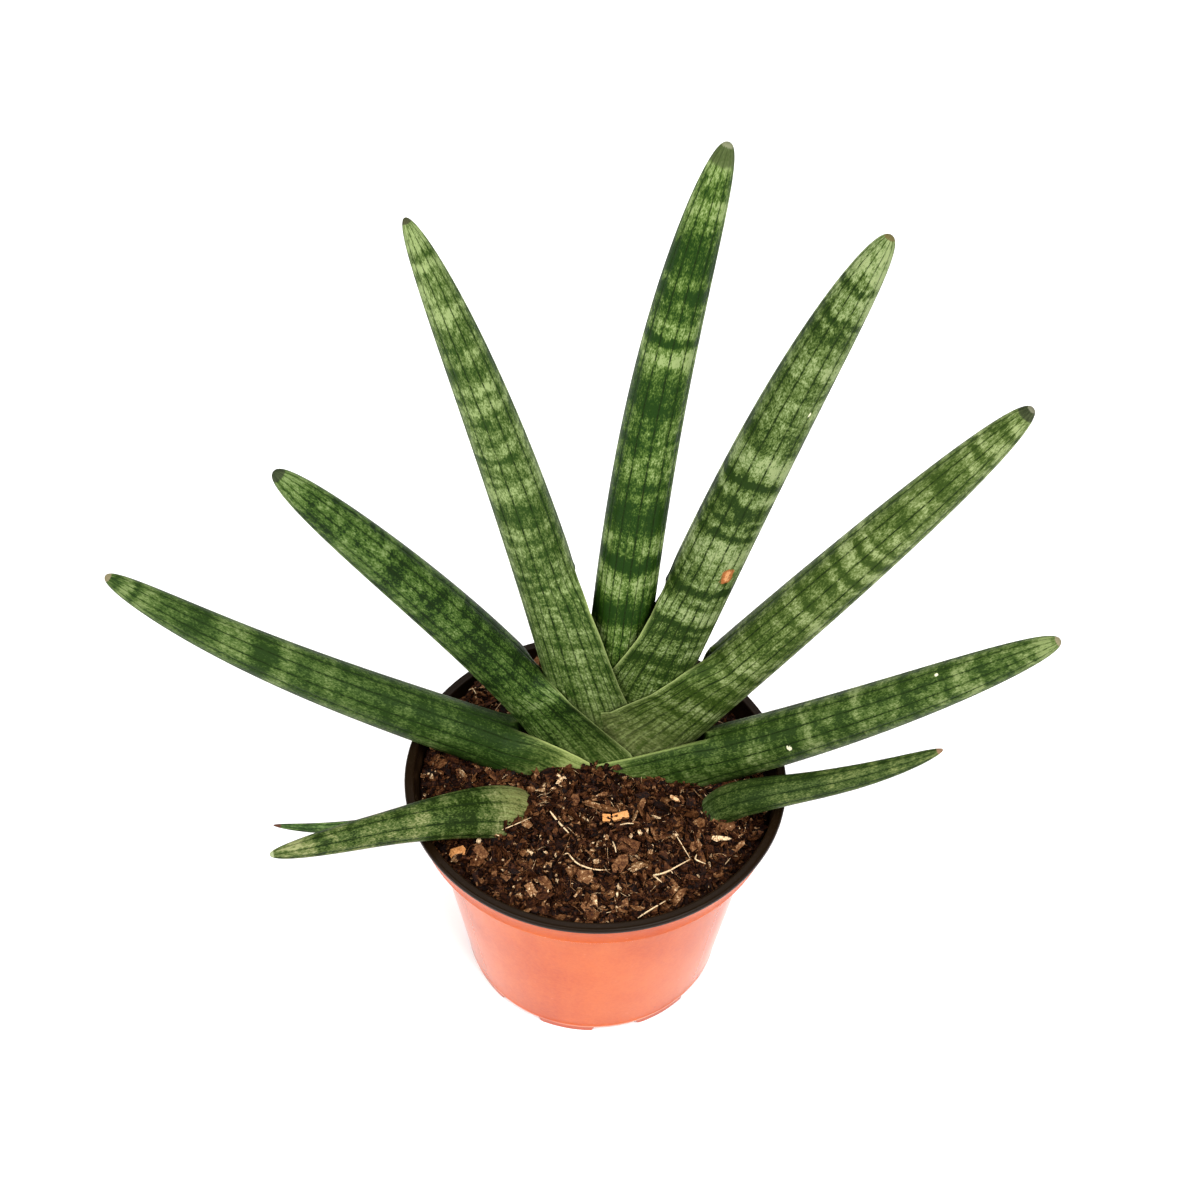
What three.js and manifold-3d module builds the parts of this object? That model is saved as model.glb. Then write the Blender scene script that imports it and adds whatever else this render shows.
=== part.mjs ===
// Cylindrical snake plant: a fan of seven rod-shaped leaves with two young offsets, in a 12 cm nursery pot.
// Millimetres, +Z up, +Y towards the back of the fan. The pot's feet stand on z = 0.
import * as THREE from "three";
import { mergeVertices } from "three/addons/utils/BufferGeometryUtils.js";
import Module from "manifold-3d";

const wasm = await Module();
wasm.setup();

// ---- Driving dimensions: pot ----
const POT_AXIS_X = 5; // the pot's axis, so that the origin lies under the middle of the whole plant
const POT_HEIGHT = 83;
const RIM_RADIUS = 60;
const BASE_RADIUS = 42;
const WALL = 1.2;
const NECK_RADIUS = 52.6; // outside of the wall under the stacking ledge
const LEDGE_Z = 70.6; // foot of the stacking ledge, where the wall widens
const LEDGE_HEIGHT = 1.4;
const BAND_RADIUS = 57; // outside of the wall above the ledge
const BAND_FLARE = 1.2; // how much wider it is where it meets the lip
const LIP_THICKNESS = 1.75;
const LIP_ROUNDING = 0.8;
const LIP_ARC_STEPS = 4;
const MOUTH_EASE = 0.5; // bevel at the inner edge of the rim
const FLOOR_Z = 3; // underside of the raised floor
const FLOOR_THICKNESS = 1.4;
const FOOT_WIDTH = 3.5;
const FOOT_HEIGHT = 2;
const FOOT_DRAFT = 1; // slope of the foot ring's inner side
const FOOT_EASE = 0.5; // bevel at its outer edge
const FOOT_COUNT = 8;
const NOTCH_ANGLE = 20; // degrees of the foot ring that each drainage notch takes
const FIRST_NOTCH = -78; // degrees from +X
const DRAIN_RADIUS = 3.5;
const DRAIN_CIRCLE = 29;
const DRAIN_SEGMENTS = 16;
const POT_SEGMENTS = 64;

// ---- Driving dimensions: potting mix ----
const GAP = 0.3; // clearance between neighbouring solids
const MERGE_DISTANCE = 1e-3; // vertices closer than this are one
const MIX_SEGMENTS = 48;
const MIX_EDGE_Z = 74.2; // where the mix meets the wall
const MIX_MOUND = [
  // radius and height of the mounded top, from near the wall to the middle
  [50, 75.6],
  [40, 77.6],
  [24, 79],
  [0, 79.3],
];

// ---- Driving dimensions: leaves ----
const LEAF_SIDES = 20;
const LEAF_RINGS = 22;
const SMALL_SIDES = 14; // for the offsets and the rhizome
const SMALL_RINGS = 14;
const TIP_CROWDING = 1.7; // above 1, the rings crowd towards the rounded tip
const TIP_POWER = 0.4; // how bluntly a leaf ends
const SHEATH_LENGTH = 46; // from the root, over which a clasping base turns into a round rod

// Each leaf: Bezier control points of its midrib from the root to the tip, its greatest diameter, how
// late it tapers, and the thickness of its clasping base from front to back. Innermost leaf first. The
// offsets stand clear of the fan.
const FAN = [
  {
    name: "leaf_centre",
    midrib: [[2, 17, 56], [8, 19, 148], [9, 24, 211], [28.5, 30, 289]],
    diameter: 19,
    fullness: 2.9,
    base: 14,
  },
  {
    name: "leaf_right_high",
    midrib: [[3, 17, 58], [25, 18, 131], [41, 19, 202], [70, 20, 270]],
    diameter: 20,
    fullness: 3,
    base: 16.6,
  },
  {
    name: "leaf_left_high",
    midrib: [[2, 17, 58], [-8, 19, 122], [-29, 22, 207], [-52, 26, 267.5]],
    diameter: 19.6,
    fullness: 2.4,
    base: 19.2,
  },
  {
    name: "leaf_right_mid",
    midrib: [[4, 17, 60], [38, 17, 110], [79, 15, 169.5], [113, 12, 223]],
    diameter: 19.5,
    fullness: 2.4,
    base: 21.8,
  },
  {
    name: "leaf_left_mid",
    midrib: [[0, 17, 60], [-19.5, 17, 108], [-60, 16, 153], [-91.5, 14, 192]],
    diameter: 18,
    fullness: 2.8,
    base: 24.4,
  },
  {
    name: "leaf_left_low",
    midrib: [[-1, 16, 61.5], [-50, 14, 91], [-95.5, 8, 112.5], [-141, 2, 161.5]],
    diameter: 18.6,
    fullness: 1.6,
    base: 27.2,
  },
  {
    name: "leaf_right_low",
    midrib: [[5, 16, 61.5], [49, 6, 87], [92, -2, 122], [130, -9, 157]],
    diameter: 18.8,
    fullness: 1.95,
    base: 27.2,
  },
];
const OFFSETS = [
  {
    name: "offset_left_back",
    midrib: [[-18, -6, 66], [-37.3, -14.4, 92.5], [-66.6, -26.7, 82.7], [-94, -38, 100.4]],
    diameter: 6.6,
    fullness: 1.5,
    base: 6.6,
  },
  {
    name: "offset_left_front",
    midrib: [[-22, -11, 68], [-21, -9, 86.5], [-79, -44, 98.7], [-94, -47, 98]],
    diameter: 12.6,
    fullness: 1.8,
    base: 16,
  },
  {
    name: "offset_right",
    midrib: [[37, -8, 70], [39, -10.4, 91.3], [64.3, -19.6, 94.7], [101.4, -19, 120.2]],
    diameter: 10.4,
    fullness: 1.7,
    base: 13,
  },
];

// ---- Driving dimensions: rhizome ----
const RHIZOME_PATH = [[-21, -9, 62], [-10, 6, 52], [3, 13, 50], [17, 6, 52], [36, -8, 64]];
const KNUCKLE_RADIUS = 8; // swollen middle, which carries the fan
const STOLON_RADIUS = 3.2;
const KNUCKLE_SPREAD = 0.2; // share of the path that the swelling takes

const FINISHES = {
  pot: { color: 0xf08a68, roughness: 0.45, metalness: 0 },
  mix: { color: 0x3a281c, roughness: 1, metalness: 0 },
  rhizome: { color: 0xd9c9a0, roughness: 0.8, metalness: 0 },
  leaf: { color: 0x5f8746, roughness: 0.5, metalness: 0 },
  offset: { color: 0x4d7a3e, roughness: 0.5, metalness: 0 },
};

// A three.js geometry as a manifold-3d solid.
function solidOf(geometry) {
  const bare = new THREE.BufferGeometry();
  const flat = geometry.index ? geometry.toNonIndexed() : geometry;
  bare.setAttribute("position", flat.getAttribute("position"));
  const merged = mergeVertices(bare, MERGE_DISTANCE);
  const mesh = new wasm.Mesh({
    numProp: 3,
    vertProperties: merged.attributes.position.array,
    triVerts: new Uint32Array(merged.index.array),
  });
  return new wasm.Manifold(mesh);
}

// A manifold-3d solid as a three.js geometry.
function geometryOf(solid) {
  const { vertProperties, triVerts } = solid.getMesh();
  const geometry = new THREE.BufferGeometry();
  geometry.setAttribute("position", new THREE.BufferAttribute(vertProperties, 3));
  geometry.setIndex(new THREE.BufferAttribute(triVerts, 1));
  geometry.computeVertexNormals();
  return geometry;
}

// A named mesh of a manifold-3d solid. Crumbs that a cut leaves behind are dropped.
function meshOf(name, solid, finish) {
  const bodies = solidOf(geometryOf(solid)).decompose();
  const geometry = geometryOf(bodies.reduce((a, b) => (a.volume() > b.volume() ? a : b)));
  const mesh = new THREE.Mesh(geometry, new THREE.MeshStandardMaterial(finish));
  mesh.name = name;
  return mesh;
}

// A closed profile of [radius, height] pairs, turned about the Z axis.
function turned(profile, segments) {
  const points = profile.map(([radius, height]) => new THREE.Vector2(radius, height));
  return solidOf(new THREE.LatheGeometry(points, segments).rotateX(Math.PI / 2));
}

// A unit sphere drawn out along a curve. radii(t) gives the half widths in the fan's plane and across
// it at t, from 0 at the curve's start to 1 at its end. grow moves the whole surface out.
function drawnAlong(curve, radii, grow, sides, rings) {
  const geometry = new THREE.SphereGeometry(1, sides, rings);
  const position = geometry.getAttribute("position");
  const unit = new THREE.Vector3();
  const across = new THREE.Vector3();
  const inPlane = new THREE.Vector3();
  for (let i = 0; i < position.count; i++) {
    unit.fromBufferAttribute(position, i);
    const share = Math.acos(THREE.MathUtils.clamp(-unit.y, -1, 1)) / Math.PI;
    const t = 1 - (1 - share) ** TIP_CROWDING;
    const ring = new THREE.Vector2(unit.x, unit.z);
    if (ring.length() > 1e-6) ring.normalize();
    else ring.set(0, 0);
    const tangent = curve.getTangentAt(t);
    across.set(0, 1, 0).addScaledVector(tangent, -tangent.y).normalize();
    inPlane.crossVectors(tangent, across);
    const [half, thick] = radii(t);
    const point = curve
      .getPointAt(t)
      .addScaledVector(inPlane, (half + grow) * ring.x)
      .addScaledVector(across, (thick + grow) * ring.y)
      .addScaledVector(tangent, grow * unit.y);
    position.setXYZ(i, point.x, point.y, point.z);
  }
  return solidOf(geometry);
}

// A leaf's solid, with its surface moved out by grow.
function leafSolid(leaf, grow, sides, rings) {
  const curve = new THREE.CubicBezierCurve3(...leaf.midrib.map((p) => new THREE.Vector3(...p)));
  const length = curve.getLength();
  const radii = (t) => {
    const rod = (leaf.diameter / 2) * (1 - t ** leaf.fullness) ** TIP_POWER;
    const sheath = 1 - THREE.MathUtils.smoothstep(t * length, 0, SHEATH_LENGTH);
    const thick = THREE.MathUtils.lerp(rod, leaf.base / 2, sheath);
    return [rod, thick];
  };
  return drawnAlong(curve, radii, grow, sides, rings);
}

// Each leaf of a set clasps the ones inside it: it is cut back from all that come before it.
function clasping(leaves, sides, rings, innermost = null) {
  let inner = innermost;
  const solids = [];
  for (const leaf of leaves) {
    const whole = leafSolid(leaf, 0, sides, rings);
    solids.push(inner ? whole.subtract(inner) : whole);
    const grown = leafSolid(leaf, GAP, sides, rings);
    inner = inner ? inner.add(grown) : grown;
  }
  return { solids, inner };
}

// Outside radius of the pot's wall below the stacking ledge.
function wallRadius(z) {
  return THREE.MathUtils.mapLinear(z, 0, LEDGE_Z, BASE_RADIUS, NECK_RADIUS);
}

// The pot: a tapered cup with a raised floor, notched feet, a stacking ledge and a flat lip.
function potSolid() {
  const floorTop = FLOOR_Z + FLOOR_THICKNESS;
  const ledgeTop = LEDGE_Z + LEDGE_HEIGHT;
  const lipUnderside = POT_HEIGHT - LIP_THICKNESS;
  const mouth = BAND_RADIUS + BAND_FLARE - WALL;
  const lipArc = [];
  for (let i = 0; i <= LIP_ARC_STEPS; i++) {
    const angle = (i / LIP_ARC_STEPS) * (Math.PI / 2);
    lipArc.push([
      RIM_RADIUS - LIP_ROUNDING * (1 - Math.cos(angle)),
      POT_HEIGHT - LIP_ROUNDING * (1 - Math.sin(angle)),
    ]);
  }
  const profile = [
    [0, FLOOR_Z],
    [BASE_RADIUS - FOOT_WIDTH - FOOT_DRAFT, FLOOR_Z],
    [BASE_RADIUS - FOOT_WIDTH, 0],
    [BASE_RADIUS - FOOT_EASE, 0],
    [wallRadius(FOOT_EASE), FOOT_EASE],
    [NECK_RADIUS, LEDGE_Z],
    [BAND_RADIUS, ledgeTop],
    [BAND_RADIUS + BAND_FLARE, lipUnderside],
    [RIM_RADIUS, lipUnderside],
    ...lipArc,
    [mouth + MOUTH_EASE, POT_HEIGHT],
    [mouth, POT_HEIGHT - MOUTH_EASE],
    [BAND_RADIUS - WALL, ledgeTop + WALL],
    [NECK_RADIUS - WALL, LEDGE_Z + WALL],
    [wallRadius(floorTop) - WALL, floorTop],
    [0, floorTop],
  ];
  let pot = turned(profile, POT_SEGMENTS);
  const notchWidth = 2 * BASE_RADIUS * Math.sin(THREE.MathUtils.degToRad(NOTCH_ANGLE / 2));
  for (let i = 0; i < FOOT_COUNT; i++) {
    const angle = THREE.MathUtils.degToRad(FIRST_NOTCH + (i * 360) / FOOT_COUNT);
    const notch = new THREE.BoxGeometry(4 * FOOT_WIDTH, notchWidth, 2 * FOOT_HEIGHT);
    notch.translate(BASE_RADIUS, 0, 0).rotateZ(angle);
    const drain = new THREE.CylinderGeometry(
      DRAIN_RADIUS,
      DRAIN_RADIUS,
      4 * FLOOR_THICKNESS,
      DRAIN_SEGMENTS,
    );
    drain.rotateX(Math.PI / 2).translate(DRAIN_CIRCLE, 0, floorTop).rotateZ(angle);
    pot = pot.subtract(solidOf(notch)).subtract(solidOf(drain));
  }
  return pot;
}

// The mix fills the pot up to its mounded surface.
function mixSolid() {
  const bottom = FLOOR_Z + FLOOR_THICKNESS + GAP;
  const profile = [
    [0, bottom],
    [wallRadius(bottom) - WALL - GAP, bottom],
    [NECK_RADIUS - WALL - GAP, LEDGE_Z + WALL + GAP],
    [BAND_RADIUS - WALL - GAP, LEDGE_Z + LEDGE_HEIGHT + WALL + GAP],
    [BAND_RADIUS - WALL - GAP, MIX_EDGE_Z],
    ...MIX_MOUND,
  ];
  return turned(profile, MIX_SEGMENTS);
}

// The rhizome: a knuckle under the fan that runs out into a thin stolon towards each offset.
function rhizomeSolid(grow) {
  const curve = new THREE.CatmullRomCurve3(RHIZOME_PATH.map((p) => new THREE.Vector3(...p)));
  const radii = (t) => {
    const swelling = Math.exp(-(((t - 0.5) / KNUCKLE_SPREAD) ** 2));
    const radius = THREE.MathUtils.lerp(STOLON_RADIUS, KNUCKLE_RADIUS, swelling);
    return [radius, radius];
  };
  return drawnAlong(curve, radii, grow, SMALL_SIDES, SMALL_RINGS);
}

const fan = clasping(FAN, LEAF_SIDES, LEAF_RINGS);
const offsets = clasping(OFFSETS, SMALL_SIDES, SMALL_RINGS, fan.inner);
const rhizome = rhizomeSolid(0).subtract(offsets.inner);
const mix = mixSolid().subtract(offsets.inner).subtract(rhizomeSolid(GAP));

const group = new THREE.Group();
group.name = "snake_plant";
group.position.x = POT_AXIS_X;
group.add(meshOf("pot", potSolid(), FINISHES.pot));
group.add(meshOf("potting_mix", mix, FINISHES.mix));
group.add(meshOf("rhizome", rhizome, FINISHES.rhizome));
FAN.forEach((leaf, i) => group.add(meshOf(leaf.name, fan.solids[i], FINISHES.leaf)));
OFFSETS.forEach((leaf, i) => group.add(meshOf(leaf.name, offsets.solids[i], FINISHES.offset)));

export default group;
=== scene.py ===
"""Looks of a cylindrical snake plant, a fan of rod-shaped leaves, in its two-tone nursery pot.

Tables and arithmetic are in millimetres from the pot's axis, and meshes are in metres in the frame of the
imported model. +Z is up, +Y runs to the back of the fan. Every surface is worked out whole from two parameters.
"""

import sys
import logging
import math
from collections.abc import Sequence
from dataclasses import dataclass, field
from enum import Enum

import bpy
import numpy as np
from mathutils import Matrix, Vector
from numpy.typing import NDArray


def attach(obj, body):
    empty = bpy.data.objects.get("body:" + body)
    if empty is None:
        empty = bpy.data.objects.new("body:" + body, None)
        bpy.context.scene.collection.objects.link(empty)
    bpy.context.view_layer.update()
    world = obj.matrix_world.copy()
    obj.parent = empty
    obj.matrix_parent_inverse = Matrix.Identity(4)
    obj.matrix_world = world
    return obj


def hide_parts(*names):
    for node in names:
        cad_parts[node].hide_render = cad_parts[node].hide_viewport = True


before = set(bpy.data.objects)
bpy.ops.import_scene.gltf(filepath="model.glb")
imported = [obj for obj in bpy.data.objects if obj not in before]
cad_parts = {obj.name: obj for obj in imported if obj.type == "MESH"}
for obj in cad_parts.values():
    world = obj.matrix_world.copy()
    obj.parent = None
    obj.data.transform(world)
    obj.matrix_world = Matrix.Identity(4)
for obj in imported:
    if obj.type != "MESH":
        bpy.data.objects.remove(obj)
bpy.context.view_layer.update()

Array = NDArray[np.float64]
Indices = NDArray[np.int64]
Colour = tuple[int, int, int]

LOG = logging.getLogger("snake_plant")
MM = 0.001
POT_AXIS_X = 5.0  # the pot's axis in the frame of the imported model
LEAF_MAP = "around_and_along"
MAP_UNIT = 100.0  # mm of leaf to one unit of that map
BEZIER_STEPS = 4001  # how finely a curve is measured
WAVES = 24  # sine waves in a random field


class Slot(Enum):
    """Names for material slots, which nothing in this script uses."""

    TERRACOTTA = "terracotta_plastic"
    BLACK = "black_plastic"
    MIX = "potting_mix"
    RHIZOME = "rhizome_flesh"
    LEAF = "leaf_green"


# ----- Arithmetic on whole arrays -----


def smoothstep(x: Array, low: float, high: float) -> Array:
    """A smooth rise from 0 at low to 1 at high: 3t^2 - 2t^3 of the share t of the way."""
    t = np.clip((x - low) / (high - low), 0.0, 1.0)
    return t * t * (3.0 - 2.0 * t)


def lerp(a: Array | float, b: Array | float, share: Array) -> Array:
    """a where share is 0, b where it is 1, and in proportion between."""
    return a + (b - a) * share


def ripples(points: Array, wavelength: float, seed: int) -> Array:
    """A smooth random field: the mean of sine waves in random directions, scaled to a spread of about 1.

    Args:
        points: places, any number of axes, with the coordinates last.
        wavelength: the typical distance between two crests.
        seed: picks the directions and the phases.

    Returns:
        One value for each place.
    """
    rng = np.random.default_rng(seed)
    direction = rng.normal(size=(WAVES, points.shape[-1]))
    direction /= np.linalg.norm(direction, axis=1, keepdims=True)
    number = direction * (2 * math.pi / wavelength) * rng.uniform(0.6, 1.6, (WAVES, 1))
    phase = rng.uniform(0, 2 * math.pi, WAVES)
    return np.sin(points @ number.T + phase).sum(-1) * math.sqrt(2.0 / WAVES)


def bezier(controls: Array, count: int) -> tuple[Array, Array]:
    """A cubic Bezier curve at even steps along its length.

    Args:
        controls: its four control points.
        count: how many points to return.

    Returns:
        The points, and the distance of each along the curve.
    """
    u = np.linspace(0, 1, BEZIER_STEPS)[:, None]
    weights = (1 - u) ** 3, 3 * (1 - u) ** 2 * u, 3 * (1 - u) * u**2, u**3
    fine = sum(w * c for w, c in zip(weights, controls))
    run = np.concatenate([[0.0], np.linalg.norm(np.diff(fine, axis=0), axis=1).cumsum()])
    at = np.linspace(0, run[-1], count)
    return sample(at, run, fine), at


def sample(at: Array, known: Array, rows: Array) -> Array:
    """Rows of a table read off at new places, each column in proportion between the known ones."""
    return np.stack([np.interp(at, known, column) for column in rows.T], axis=-1)


def unit(vectors: Array) -> Array:
    """Vectors of the same directions and length 1."""
    return vectors / np.maximum(np.linalg.norm(vectors, axis=-1, keepdims=True), 1e-12)


def along_curve(points: Array) -> tuple[Array, Array, Array]:
    """The directions of a cross-section carried along a curve.

    Returns:
        The tangent; the direction across, which is +Y made square to the tangent; and tangent x across.
    """
    tangent = unit(np.gradient(points, axis=0))
    across = unit(np.array([0.0, 1.0, 0.0]) - tangent * tangent[:, 1:2])
    return tangent, across, np.cross(tangent, across)


# ----- Meshes -----


@dataclass
class Surface:
    """A mesh in the making: its points in mm, its faces by their number of corners, and what it carries."""

    points: Array
    faces: list[Indices]
    values: dict[str, Array] = field(default_factory=dict)  # a number at each point
    corner_map: Array | None = None  # two numbers at each corner of each face
    smooth: bool = True

    def volume(self) -> float:
        """Six times the volume that the faces close in, which is negative if they point inwards."""
        total = 0.0
        for block in self.faces:
            corner = self.points[block]
            for i in range(1, block.shape[1] - 1):
                spans = np.cross(corner[:, i], corner[:, i + 1])
                total += float(np.einsum("ij,ij->", corner[:, 0], spans))
        return total

    def mesh(self, name: str) -> bpy.types.Mesh:
        """The Blender mesh, in metres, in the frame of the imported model, with its faces pointing outwards."""
        flipped = self.volume() < 0
        faces = [block[:, ::-1] if flipped else block for block in self.faces]
        mesh = bpy.data.meshes.new(name)
        mesh.vertices.add(len(self.points))
        place = (self.points + np.array([POT_AXIS_X, 0.0, 0.0])) * MM
        mesh.vertices.foreach_set("co", place.astype(np.float32).ravel())
        corners = np.concatenate([block.ravel() for block in faces])
        sides = np.concatenate([np.full(len(block), block.shape[1]) for block in faces])
        mesh.loops.add(len(corners))
        mesh.loops.foreach_set("vertex_index", corners.astype(np.int32))
        mesh.polygons.add(len(sides))
        starts = np.concatenate([[0], np.cumsum(sides)[:-1]])
        mesh.polygons.foreach_set("loop_start", starts.astype(np.int32))
        mesh.polygons.foreach_set("use_smooth", np.full(len(sides), self.smooth))
        for key, value in self.values.items():
            layer = mesh.attributes.new(key, "FLOAT", "POINT")
            layer.data.foreach_set("value", value.astype(np.float32).ravel())
        if self.corner_map is not None:
            both, start = [], 0
            for block in self.faces:
                part = self.corner_map[start : start + block.size].reshape(*block.shape, 2)
                both.append((part[:, ::-1] if flipped else part).reshape(-1, 2))
                start += block.size
            layer = mesh.uv_layers.new(name=LEAF_MAP)
            layer.uv.foreach_set("vector", np.concatenate(both).astype(np.float32).ravel())
        mesh.update(calc_edges=True)
        mesh.validate()
        return mesh


def tube_faces(rings: int, columns: int) -> list[Indices]:
    """Faces of a grid that closes on itself sideways and is capped by a pole before and after its rings.

    The grid's points come first, ring by ring, then the first pole and the last one.
    """
    ring, column = np.meshgrid(np.arange(rings - 1), np.arange(columns), indexing="ij")
    here = (ring * columns + column).ravel()
    beside = (ring * columns + (column + 1) % columns).ravel()
    quads = np.stack([here, beside, beside + columns, here + columns], axis=1)
    column = np.arange(columns)
    after = (column + 1) % columns
    first, last, end = rings * columns, rings * columns + 1, (rings - 1) * columns
    start_cap = np.stack([after, column, np.full(columns, first)], axis=1)
    end_cap = np.stack([end + column, end + after, np.full(columns, last)], axis=1)
    return [quads, np.concatenate([start_cap, end_cap])]


def turned(profile: Array, segments: int) -> Surface:
    """A closed shell turned about the Z axis.

    Args:
        profile: rows of radius and height, from one end on the axis to the other, ends left out.
        segments: how many columns go round.

    Returns:
        The surface: the point at angle a of a row is (radius cos a, radius sin a, height).
    """
    angle = np.arange(segments) * (2 * math.pi / segments)
    ring = np.stack([np.cos(angle), np.sin(angle), np.ones(segments)], axis=-1)
    grid = profile[:, None, [0, 0, 1]] * ring[None]
    poles = np.array([[0.0, 0.0, profile[0, 1]], [0.0, 0.0, profile[-1, 1]]])
    return Surface(np.concatenate([grid.reshape(-1, 3), poles]), tube_faces(len(profile), segments))


def joined(parts: Sequence[Surface]) -> Surface:
    """Several surfaces as one, with the values that they all carry."""
    blocks: list[Indices] = []
    start = 0
    for part in parts:
        blocks += [block + start for block in part.faces]
        start += len(part.points)
    keys = set.intersection(*(set(part.values) for part in parts))
    values = {key: np.concatenate([part.values[key] for part in parts]) for key in sorted(keys)}
    return Surface(np.concatenate([part.points for part in parts]), blocks, values, smooth=parts[0].smooth)


def copies(template: Array, faces: list[Indices], turns: Array, places: Array) -> Surface:
    """One small shape repeated: point = turn x template point + place, for each copy.

    Args:
        template: the shape's points, either the same for all or its own set for each copy.
        faces: the shape's faces.
        turns: a 3 x 3 matrix for each copy.
        places: where each copy's middle goes.
    """
    shape = np.broadcast_to(template, (len(places), *template.shape[-2:]))
    points = np.einsum("nij,nkj->nki", turns, shape) + places[:, None, :]
    shift = np.arange(len(places))[:, None, None] * shape.shape[1]
    blocks = [(block[None] + shift).reshape(-1, block.shape[1]) for block in faces]
    return Surface(points.reshape(-1, 3), blocks)


def placed(name: str, data: bpy.types.ID) -> bpy.types.Object:
    """A new object of the scene."""
    piece = bpy.data.objects.new(name, data)
    bpy.context.scene.collection.objects.link(piece)
    return piece


def show(
    name: str, surface: Surface, material: bpy.types.Material, node: str | None = None
) -> bpy.types.Object:
    """Makes a surface a piece of the plant, riding on its one body.

    Args:
        name: the piece's name.
        surface: its shape.
        material: its finish.
        node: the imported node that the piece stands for, if any.
    """
    piece = placed(name, surface.mesh(name))
    piece.data.materials.append(material)
    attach(piece, "root")
    if node:
        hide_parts(node)
    LOG.info("%s: %d points, %d faces", name, len(piece.data.vertices), len(piece.data.polygons))
    return piece


# ----- Shader maths -----


def linear(colour: Colour) -> tuple[float, float, float]:
    """A screen colour, 0 to 255, as the light that it stands for."""
    share = [c / 255 for c in colour]
    return tuple(c / 12.92 if c <= 0.04045 else ((c + 0.055) / 1.055) ** 2.4 for c in share)


class Wire:
    """An output socket of a shader's node. Arithmetic on a number adds Math nodes."""

    def __init__(self, shader: "Shader", socket: bpy.types.NodeSocket) -> None:
        """Wraps a socket of that shader."""
        self.shader = shader
        self.socket = socket

    def _math(self, operation: str, *terms: "Wire | float") -> "Wire":
        """A Math node on these terms."""
        return self.shader.node("ShaderNodeMath", {"operation": operation}, dict(enumerate(terms)))

    def __add__(self, other: "Wire | float") -> "Wire":
        """self + other."""
        return self._math("ADD", self, other)

    __radd__ = __add__

    def __sub__(self, other: "Wire | float") -> "Wire":
        """self - other."""
        return self._math("SUBTRACT", self, other)

    def __rsub__(self, other: "Wire | float") -> "Wire":
        """other - self."""
        return self._math("SUBTRACT", other, self)

    def __mul__(self, other: "Wire | float") -> "Wire":
        """self x other."""
        return self._math("MULTIPLY", self, other)

    __rmul__ = __mul__

    def __abs__(self) -> "Wire":
        """self without its sign."""
        return self._math("ABSOLUTE", self)

    def floor(self) -> "Wire":
        """The whole number under self."""
        return self._math("FLOOR", self)

    def fraction(self) -> "Wire":
        """What is over that whole number."""
        return self._math("FRACT", self)

    def largest(self, other: "Wire | float") -> "Wire":
        """The larger of the two."""
        return self._math("MAXIMUM", self, other)

    def rise(self, low: float, high: float) -> "Wire":
        """0 below low, 1 above high and smooth between; low may be the larger, for a fall."""
        ends = {"From Min": min(low, high), "From Max": max(low, high), "To Min": 0.0, "To Max": 1.0}
        if low > high:
            ends |= {"To Min": 1.0, "To Max": 0.0}
        settings = {"interpolation_type": "SMOOTHSTEP"}
        return self.shader.node("ShaderNodeMapRange", settings, {"Value": self, **ends}, "Result")


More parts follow.
